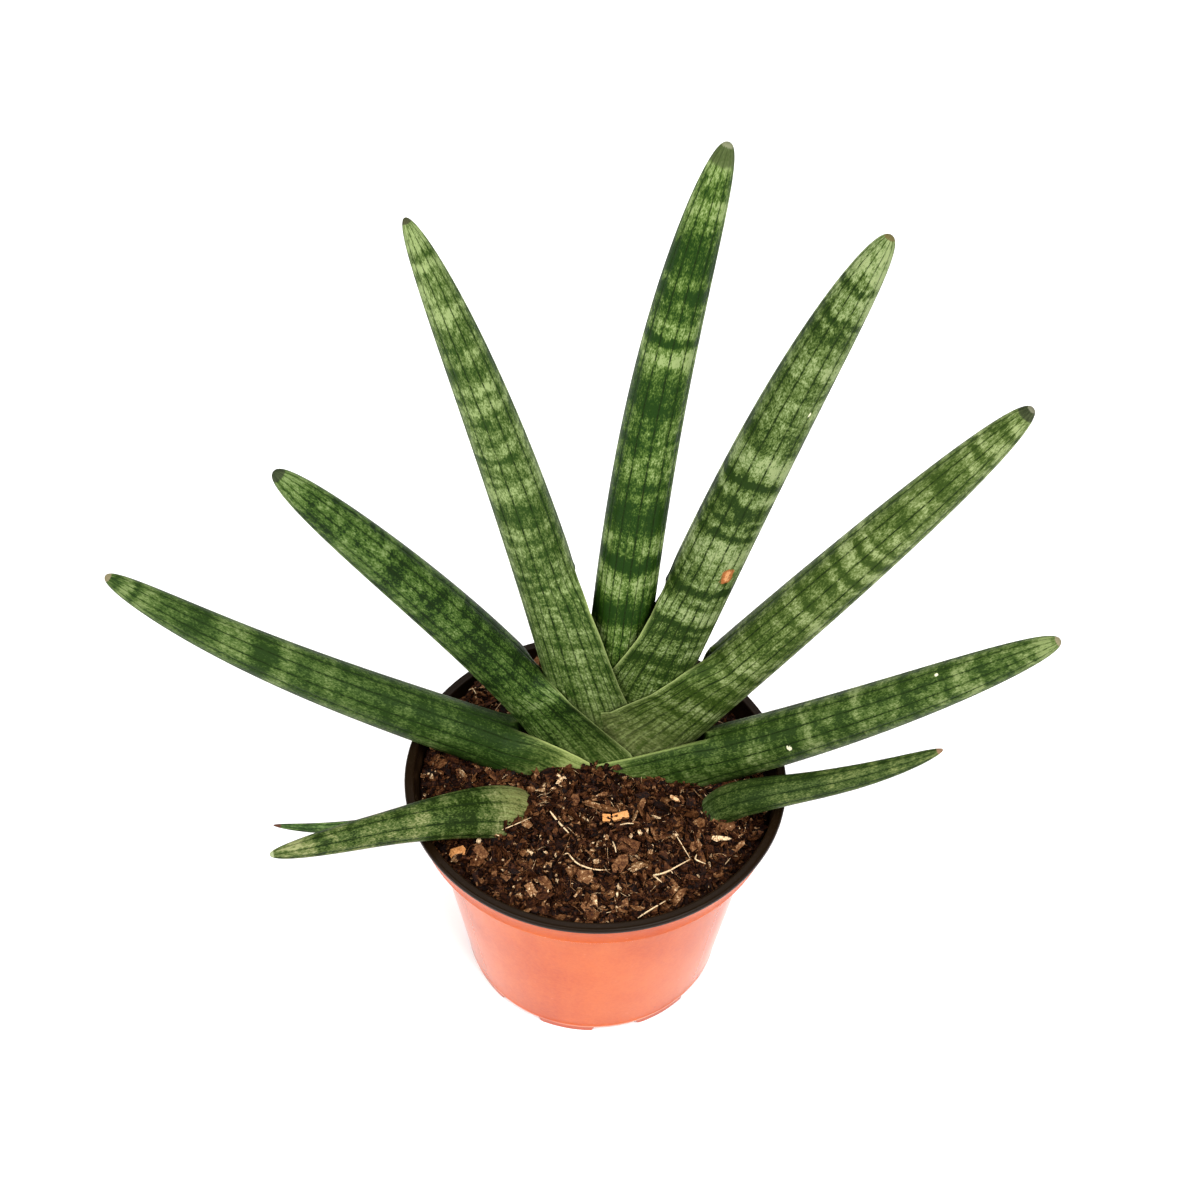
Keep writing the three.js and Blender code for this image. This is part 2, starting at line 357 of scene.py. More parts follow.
class Shader:
    """A material whose nodes are made by method calls."""

    def __init__(self, name: str) -> None:
        """Starts a material with a Principled shader on its output."""
        self.material = bpy.data.materials.new(name)
        self.material.use_nodes = True
        self.tree = self.material.node_tree
        self.tree.nodes.clear()
        self.surface = self.tree.nodes.new("ShaderNodeBsdfPrincipled")
        output = self.tree.nodes.new("ShaderNodeOutputMaterial")
        self.tree.links.new(self.surface.outputs["BSDF"], output.inputs["Surface"])

    def node(
        self,
        kind: str,
        settings: dict[str, object] | None = None,
        inputs: dict[str | int, object] | None = None,
        output: str | int = 0,
    ) -> Wire:
        """Adds a node.

        Args:
            kind: its Blender type.
            settings: its properties, set first. stops are a ramp's places and colours.
            inputs: a value or a Wire for each input, by name or by number.
            output: which of its outputs to return.

        Returns:
            The chosen output.
        """
        node = self.tree.nodes.new(kind)
        for key, value in (settings or {}).items():
            if key == "stops":
                self._set_stops(node.color_ramp.elements, value)
            else:
                setattr(node, key, value)
        for key, value in (inputs or {}).items():
            self.plug(node.inputs[key], value)
        return Wire(self, node.outputs[output])

    def plug(self, socket: bpy.types.NodeSocket, value: object) -> None:
        """Links a Wire to an input, or sets the input to a plain value."""
        if isinstance(value, Wire):
            self.tree.links.new(value.socket, socket)
        else:
            socket.default_value = value

    @staticmethod
    def _set_stops(elements: bpy.types.ColorRampElements, stops: Sequence[tuple[float, Colour]]) -> None:
        """Places a ramp's stops, which come in order."""
        for i, (place, colour) in enumerate(stops):
            stop = elements[i] if i < 2 else elements.new(place)
            stop.position = place
            stop.color = (*linear(colour), 1.0)

    def ramp(self, value: Wire, stops: Sequence[tuple[float, Colour]]) -> Wire:
        """A colour for each value, in proportion between the stops."""
        return self.node("ShaderNodeValToRGB", {"stops": stops}, {"Fac": value}, "Color")

    def mix(self, share: Wire | float, a: Wire | Colour, b: Wire | Colour) -> Wire:
        """Colour a where share is 0 and colour b where it is 1."""
        ends = [v if isinstance(v, Wire) else (*linear(v), 1.0) for v in (a, b)]
        return self.node("ShaderNodeMix", {"data_type": "RGBA"}, {0: share, 6: ends[0], 7: ends[1]}, 2)

    def place(self) -> Wire:
        """The place on the piece, in metres."""
        return self.node("ShaderNodeTexCoord", output="Object")

    def xyz(self, x: Wire | float, y: Wire | float, z: Wire | float) -> Wire:
        """A vector of three numbers."""
        return self.node("ShaderNodeCombineXYZ", None, {0: x, 1: y, 2: z})

    def split(self, vector: Wire) -> tuple[Wire, Wire, Wire]:
        """The three numbers of a vector."""
        first = self.node("ShaderNodeSeparateXYZ", None, {0: vector})
        outputs = first.socket.node.outputs
        return first, Wire(self, outputs[1]), Wire(self, outputs[2])

    def value(self, name: str) -> Wire:
        """A number that the mesh carries at its points."""
        return self.node("ShaderNodeAttribute", {"attribute_name": name}, output="Fac")

    def noise(self, vector: Wire, scale: float, detail: float = 2.0, roughness: float = 0.5) -> Wire:
        """Smooth noise of 0 to 1, mostly near its middle."""
        inputs = {"Vector": vector, "Scale": scale, "Detail": detail, "Roughness": roughness}
        return self.node("ShaderNodeTexNoise", None, inputs, "Fac")

    def random(self, number: Wire, seed: float) -> Wire:
        """A random number of 0 to 1 for each whole number."""
        inputs = {"Vector": self.xyz(number, seed, 0.0)}
        return self.node("ShaderNodeTexWhiteNoise", {"noise_dimensions": "2D"}, inputs, "Value")

    def cells(self, vector: Wire, scale: float) -> Wire:
        """The distance to the nearest of many scattered points."""
        return self.node("ShaderNodeTexVoronoi", None, {"Vector": vector, "Scale": scale}, "Distance")

    def bump(self, height: Wire, reach: float, strength: float = 1.0) -> None:
        """Feeds Normal from a height of 0 to 1 that stands for reach, in metres."""
        inputs = {"Height": height, "Distance": reach, "Strength": strength}
        self.plug(self.surface.inputs["Normal"], self.node("ShaderNodeBump", None, inputs, "Normal"))

    def set(self, **sockets: object) -> None:
        """Sets or links the Principled shader's inputs; an underscore stands for a space."""
        for key, value in sockets.items():
            self.plug(self.surface.inputs[key.replace("_", " ")], value)


# ----- Leaves -----


@dataclass(frozen=True)
class LeafFinish:
    """How a leaf is coloured, from its darkest cross bands to its palest."""

    shades: tuple[Colour, Colour, Colour, Colour, Colour] = (
        (36, 56, 20),
        (62, 86, 38),
        (86, 110, 56),
        (116, 138, 80),
        (150, 170, 112),
    )
    line: Colour = (20, 34, 6)  # the veins
    veins: int = 12  # main veins round the leaf
    sheath: Colour = (118, 138, 78)  # the plain clasping base
    margin: Colour = (136, 150, 90)
    tip: Colour = (92, 86, 62)
    scar: Colour = (142, 84, 44)
    scab: Colour = (196, 140, 92)  # the scar's paler middle
    speck: Colour = (226, 224, 186)
    bars: float = 1.5  # how strongly small cross bars break up each strip between two veins
    flecks: float = 1.3  # how strongly the skin is flecked
    bricks: float = 0.7  # how strongly the rows of cells between the finest veins differ
    patches: float = 1.1  # how strongly wide clouds lighten and darken it
    fine_lines: float = 0.9  # how dark the veins between the main ones are
    slant: float = 0.06  # how much lighter the outer side is
    seed: float = 0.0

    def material(self, name: str) -> bpy.types.Material:
        """The leaf's material. It reads the leaf's own map, around and along, and the values it carries."""
        s = Shader(name)
        around, along, _ = s.split(s.node("ShaderNodeUVMap", {"uv_map": LEAF_MAP}, output="UV"))
        along = along * MAP_UNIT
        wobble = s.noise(s.xyz(around * 9.0, along * 0.16, self.seed), 1.0, 3.0) - 0.5
        strip = around * self.veins + wobble * 0.12
        number = (strip + 0.5).floor()

        def speckle(
            across: float, lengthways: float, shift: float, detail: float, roughness: float = 0.5
        ) -> Wire:
            """Noise about 0, by how often it changes from vein to vein and in each mm of length."""
            place = s.xyz(strip * across, along * lengthways, self.seed + shift)
            return s.noise(place, 1.0, detail, roughness) - 0.5

        # Cross bars in each strip between two veins, flecks drawn out along the leaf, and wide clouds.
        run = along * 0.36 + s.random(number, self.seed) * 30.0 + wobble * 1.2
        bars = s.noise(s.xyz(strip * 0.5, run, self.seed), 1.0, 2.0, 0.6) - 0.5
        flecks = speckle(5.5, 0.45, 9.0, 3.0, 0.65)
        patches = speckle(0.45, 0.09, 5.0, 3.0)
        grain = speckle(12.0, 1.3, 2.0, 3.0, 0.6)
        streaks = speckle(8.0, 0.06, 4.0, 2.0, 0.6)
        slip = s.random((strip * 3.0).floor(), self.seed)
        brick_place = s.xyz(slip * 40.0, along * 0.8 + slip * 30.0, self.seed + 7.0)
        bricks = s.noise(brick_place, 1.0, 2.0, 0.6) - 0.5
        base, lower, bands = s.value("base"), s.value("lower"), s.value("tone")
        calm = bands.rise(0.05, 0.5) * 0.5 + 0.5  # dark bands are plainer
        beside = abs((strip + 0.5).fraction() - 0.5).rise(0.26, 0.04)  # dark borders along the veins
        broken_up = (bars * self.bars + flecks * self.flecks + bricks * self.bricks) * calm
        broken_up = broken_up + patches * self.patches
        tone = bands + broken_up * (1.0 - base * 0.7) + grain * 2.2 - beside * 0.2

        # Veins: the main ones run from end to end, those between them only up the lower half.
        def vein(count: float, half_width: float, fade: Wire | float) -> Wire:
            """Thin lines at even angles round the leaf, fading out by fade."""
            away = abs((strip * count + 0.5).fraction() - 0.5)
            return away.rise(half_width, half_width * 0.55) * fade

        gaps = s.noise(s.xyz(number * 3.1, along * 0.7, self.seed + 3.0), 1.0, 3.0, 0.7)
        broken = (gaps + grain * 0.4).rise(0.38, 0.57)
        main = vein(1.0, 0.06, broken * 0.75 + 0.25)
        second = vein(2.0, 0.09, lower.rise(0.35, 0.65) * (broken * 0.6 + 0.4) * self.fine_lines)
        third = vein(4.0, 0.14, lower.rise(0.55, 0.8) * (broken * 0.4 + 0.6) * (self.fine_lines * 0.75))
        lines = main.largest(second).largest(third) * (1.0 - base * 0.8)

        colour = s.ramp(tone, list(zip((0.0, 0.25, 0.5, 0.75, 1.0), self.shades)))
        plain_tone = tone * 0.5 + streaks * 1.5 + flecks * 0.5 + 0.25
        plain = s.ramp(plain_tone, [(0.1, self.shades[1]), (0.45, self.sheath), (0.95, self.margin)])
        colour = s.mix(base * 0.85, colour, plain)
        colour = s.mix(lines, colour, self.line)
        colour = s.mix(s.value("margin"), colour, self.margin)
        mark = s.value("mark") * (flecks * 1.4 + 0.95) + grain * 0.9
        colour = s.mix(mark.rise(0.25, 0.45), colour, s.mix(mark.rise(0.6, 0.9), self.scar, self.scab))
        colour = s.mix(mark.rise(-0.30, -0.50), colour, self.speck)
        dry = s.value("tip") * (grain * 0.9 + 1.0)
        colour = s.mix(dry.rise(0.44, 0.53) * 0.85, colour, self.tip)

        height = grain * 0.5 + flecks * 0.8 - lines * 0.9
        s.bump(height, 0.00022, 0.8)
        rough = flecks * 0.4 + 0.50 + lines * 0.12
        s.set(Base_Color=colour, Roughness=rough, Specular_IOR_Level=0.06)
        return s.material


@dataclass(frozen=True)
class Leaf:
    """A leaf drawn along its midrib: a rod with a rounded tip, whose base opens into a clasping sheath.

    The outline at a distance s from the root is worked out from the keel, the leaf's outer side, round its
    front to the sheath's margin, and from there back into the channel. With the rod's radius r and half
    thickness b, the outer side is (r sin a, b cos a) up to the widest point and then
    (w sin a, b (f + (1 - f) cos a)) up to the margin, which stands f b in front of the midrib.
    """

    name: str
    midrib: tuple[tuple[float, float, float], ...]  # Bezier control points, root to tip
    diameter: float
    fullness: float  # how late it tapers
    base: float  # thickness of the sheath from front to back
    rings: tuple[tuple[float, float, float], ...]  # mm from the tip, half width, and how much lighter
    tones: tuple[float, ...]  # lightness at even steps from the tip to the root
    finish: LeafFinish
    margin: tuple[tuple[float, float, float], ...] = ()  # mm from the root, mm inwards, share f
    marks: tuple[tuple[float, float, float, float], ...] = ()  # mm from the tip, degrees round, half sizes
    pale: float = 30.0  # mm from the root over which the bands fade
    dry: float = 1.6  # mm of dry tip
    outer_columns: int = 40
    inner_columns: int = 16
    spacing: float = 0.62  # mm between cross-sections
    flesh: tuple[float, float] = (0.55, 3.2)  # thickness of the sheath at its margin and at its keel
    point: float = 0.4  # how sharply the tip is pointed
    opening: float = 46.0  # mm from the root over which the base turns into a round rod
    rear: tuple[float, float] = (0.85, 0.6)  # reach of the rear wing in rod radii, and its share of the depth
    unfurl: tuple[float, float] = (1.0, 18.0)  # mm past the fork over which that wing turns into the rod

    CLOSING = 12.0  # mm past the fork in which the sheath closes into a rod
    OPEN_ANGLE = math.radians(84)  # where the margin lies, from the front
    CLOSED_ANGLE = math.radians(18)
    GROOVE = 0.14  # mm that the veins are sunk
    CROWDING = 1.25  # how much closer the cross-sections are at the tip

    def stations(self) -> tuple[Array, float]:
        """Distances from the root of the cross-sections, closer at the tip, and the leaf's length."""
        length = bezier(np.array(self.midrib), 800)[1][-1]
        share = np.linspace(0.0, 1.0, int(length / self.spacing) + 1)[1:-1]
        return length * (1 - (1 - share) ** self.CROWDING), length

    def radii(self, s: Array, length: float) -> tuple[Array, Array]:
        """Half widths in the fan's plane and across it: r = D/2 (1 - t^n)^point, thicker in the sheath."""
        rod = self.diameter / 2 * (1 - (s / length) ** self.fullness) ** self.point
        return rod, lerp(self.base / 2, rod, smoothstep(s, 0.0, self.opening))

    def sheath(self, s: Array, rod: Array) -> tuple[Array, Array, Array, Array]:
        """The channel's half width, how far its margins stand forward, where they lie, and its depth."""
        if not self.margin:
            none = np.zeros_like(s)
            return rod, none, np.full_like(s, self.CLOSED_ANGLE), none
        at, inwards, forward = np.array(self.margin).T
        fork = at[-1]
        closed = smoothstep(s, fork, fork + self.CLOSING)
        width = lerp(np.interp(s, at, inwards) / math.sin(self.OPEN_ANGLE), rod, closed)
        share = np.interp(s, at, forward) * (1 - closed)
        round_again = smoothstep(s, fork + self.CLOSING, fork + 2 * self.CLOSING)
        angle = lerp(self.OPEN_ANGLE, self.CLOSED_ANGLE, round_again)
        return width, share, angle, 1 - smoothstep(s, fork - 5.0, fork + 9.0)

    @staticmethod
    def outline(angle: Array, rod: Array, thick: Array, width: Array, share: Array) -> tuple[Array, Array]:
        """Offset to the inner side and forward distance of the outer surface at an angle from the front."""
        offset = np.where(angle < 0, rod, width) * np.sin(angle)
        inner = share + (1 - share) * np.cos(angle)
        return offset, thick * np.where(angle < 0, np.cos(angle), inner)

    def half(self, s: Array, length: float) -> tuple[Array, Array, Array, Array]:
        """Half of every cross-section, from the keel round the front and into the channel's middle.

        Returns:
            Offset to the inner side, forward distance, share of the way round, and distance from the margin.
        """
        rod, thick = (v[:, None] for v in self.radii(s, length))
        width, share, limit, depth = (v[:, None] for v in self.sheath(s, rod[:, 0]))
        out = np.linspace(0.0, 1.0, self.outer_columns)[None]
        angle = -math.pi / 2 + (math.pi / 2 + limit) * out
        offset, forward = self.outline(angle, rod, thick, width, share)
        into = np.linspace(0.0, 1.0, self.inner_columns + 1)[None, 1:]
        beyond = limit + (math.pi / 2 - limit) * into
        shut_forward = thick * ((1 - share) * np.cos(beyond) + share * (1 - into))
        shut = lerp(width, rod, into) * np.sin(beyond), shut_forward
        back = -math.pi / 2 + (math.pi / 2 + limit) * (1 - into)
        side, front = self.outline(back, rod, thick, width, share)
        run_side, run_front = np.gradient(side, axis=1), np.gradient(front, axis=1)
        norm = np.hypot(run_side, run_front) + 1e-9
        wall = self.flesh[0] * (1 - np.exp(-into / 0.05)) + (self.flesh[1] - self.flesh[0]) * into**2
        side, front = side - wall * run_front / norm, front + wall * run_side / norm
        cut = side, np.maximum(front, 0.0) * (1 - into**6)
        offset = np.concatenate([offset, lerp(shut[0], cut[0], depth)], axis=1)
        forward = np.concatenate([forward, lerp(shut[1], cut[1], depth)], axis=1)
        round_share = np.concatenate([angle, beyond], axis=1) / (2 * math.pi) + 0.25
        steps = np.hypot(np.diff(offset, axis=1), np.diff(forward, axis=1))
        run = np.concatenate([np.zeros_like(rod), np.cumsum(steps, axis=1)], axis=1)
        away = np.abs(run - run[:, self.outer_columns - 1 : self.outer_columns])
        return offset, forward, round_share, away

    def behind(self, s: Array, length: float, offset: Array, forward: Array) -> tuple[Array, Array]:
        """The rear half of the cross-sections: the sheath's rear wing is lower and lies flatter."""
        if not self.margin:
            return offset, forward
        rod, thick = (v[:, None] for v in self.radii(s, length))
        width = self.sheath(s, rod[:, 0])[0][:, None]
        fork = self.margin[-1][0]
        closed = smoothstep(s, fork + self.unfurl[0], fork + self.unfurl[1])[:, None]
        away = smoothstep(forward / thick, 0.0, 0.5)
        reach = lerp(np.ones_like(offset), lerp(self.rear[0] * rod / width, rod / width, closed), away)
        share = lerp(self.rear[1], np.ones_like(rod), closed)
        return np.where(offset > 0, offset * reach, offset), forward * share

    def tone(self, from_tip: Array, length: float, around: Array) -> Array:
        """Lightness of the skin: its trend along the leaf plus each cross band, shifted from strip to strip.

        A band at c of half width h adds 1.35 times its amount times exp(-|(d - c) / h|^3) at d from the tip.
        """
        rng = np.random.default_rng(int(self.finish.seed * 10) + 7)
        trend = np.interp(from_tip / length, np.linspace(0, 1, len(self.tones)), self.tones)
        veins = self.finish.veins
        strip = around * veins + 0.5
        number = np.floor(strip).astype(int) % veins
        arch = 1 - (2 * (strip - np.floor(strip)) - 1) ** 2
        total = trend + self.finish.slant * np.cos(2 * math.pi * around)
        columns = around.shape[1]
        for place, reach, amount in self.rings:
            shift = rng.normal(0.0, 0.4, veins)[number] - 0.7 * arch + rng.normal(0.0, 0.35, columns)
            sway = 0.6 * np.sin(2 * math.pi * around + rng.uniform(0, 2 * math.pi))
            strength = 1.35 * amount * rng.uniform(0.8, 1.25, veins)[number] * rng.uniform(0.75, 1.2, columns)
            total = total + strength * np.exp(-(np.abs((from_tip - place - shift - sway) / reach) ** 3))
        return total

    def mark(self, from_tip: Array, around: Array) -> Array:
        """Scars and specks: a bell curve over each one's half sizes, upside down for a pale speck.

        A mark's half sizes are in mm along the leaf and in degrees round it. A negative one makes a speck.
        """
        total = np.zeros_like(around)
        for place, angle, along, wide in self.marks:
            turn = (around * 360 - angle + 180) % 360 - 180
            bell = np.exp(-(((from_tip - place) / along) ** 2) - (turn / wide) ** 2)
            total = total + math.copysign(1.0, along) * bell
        return total

    def surface(self) -> Surface:
        """The leaf's closed surface with its map and the values that its finish reads."""
        s, length = self.stations()
        curve, at = bezier(np.array(self.midrib), 1200)
        _, across, inward = along_curve(curve)
        if self.midrib[-1][0] < self.midrib[0][0]:
            inward = -inward
        middle, across, inward = (sample(s, at, v)[:, None] for v in (curve, across, inward))
        offset, forward, round_share, away = self.half(s, length)
        columns = offset.shape[1]
        mirror = slice(columns - 2, 0, -1)
        rear_offset, rear_forward = self.behind(s, length, offset[:, mirror], forward[:, mirror])
        offset = np.concatenate([offset, rear_offset], axis=1)
        forward = np.concatenate([forward, -rear_forward], axis=1)
        around = np.concatenate([round_share, 1 - round_share[:, mirror]], axis=1)
        away = np.concatenate([away, away[:, mirror]], axis=1)
        vein = np.abs((around * self.finish.veins + 0.5) % 1 - 0.5)
        thinness = np.minimum(1, self.radii(s, length)[0] / 6)[:, None]
        groove = self.GROOVE * np.exp(-((vein / 0.11) ** 2)) * thinness
        shrink = 1 - groove / np.maximum(np.hypot(offset, forward), 2.0)
        points = middle + inward * (offset * shrink)[..., None] - across * (forward * shrink)[..., None]
        faces = tube_faces(*around.shape)
        from_root = np.broadcast_to(s[:, None], around.shape)
        from_tip = length - from_root
        fork = self.margin[-1][0] if self.margin else 0.0
        edge = np.exp(-((away / 0.6) ** 2)) * (1 - smoothstep(from_root, fork - 2, fork + 12))
        values = {
            "tone": self.tone(from_tip, length, around),
            "margin": edge * bool(self.margin),
            "base": 1 - smoothstep(from_root, self.pale * 0.35, self.pale),
            "lower": 1 - from_root / length,
            "tip": np.exp(-((from_tip / self.dry) ** 2)),
            "mark": self.mark(from_tip, around),
        }
        poles = {"tone": self.tones[0], "margin": 0.0, "base": 1.0, "lower": 1.0, "tip": 0.0, "mark": 0.0}
        values = {k: np.append(v.ravel(), [poles[k], v[-1, 0]]) for k, v in values.items()}
        grid = np.concatenate([points.reshape(-1, 3), curve[[0, -1]]])
        return Surface(grid, faces, values, self.map_corners(around, s, length, faces))

    @staticmethod
    def map_corners(around: Array, s: Array, length: float, faces: list[Indices]) -> Array:
        """The map at each corner: the share of the way round and the distance from the root in 100 mm.

        The last column's faces end at 1 and not at 0, so that the pattern doesn't run backwards in them.
        """
        rings, columns = around.shape
        u = np.append(around.ravel(), [0.5, 0.5])
        v = np.append(np.repeat(s, columns), [0.0, length]) / MAP_UNIT
        corner = np.concatenate([block.ravel() for block in faces])
        last = [(block % columns == columns - 1).any(1) for block in faces]
        seam = np.concatenate([np.repeat(row, block.shape[1]) for row, block in zip(last, faces)])
        wrapped = seam & (corner % columns == 0) & (corner < rings * columns)
        return np.stack([u[corner] + wrapped, v[corner]], axis=1)

    def build(self) -> bpy.types.Object:
        """Makes the leaf and dresses it."""
        finish = self.finish.material(self.name)
        return show(self.name + "_skin", self.surface(), finish, self.name)


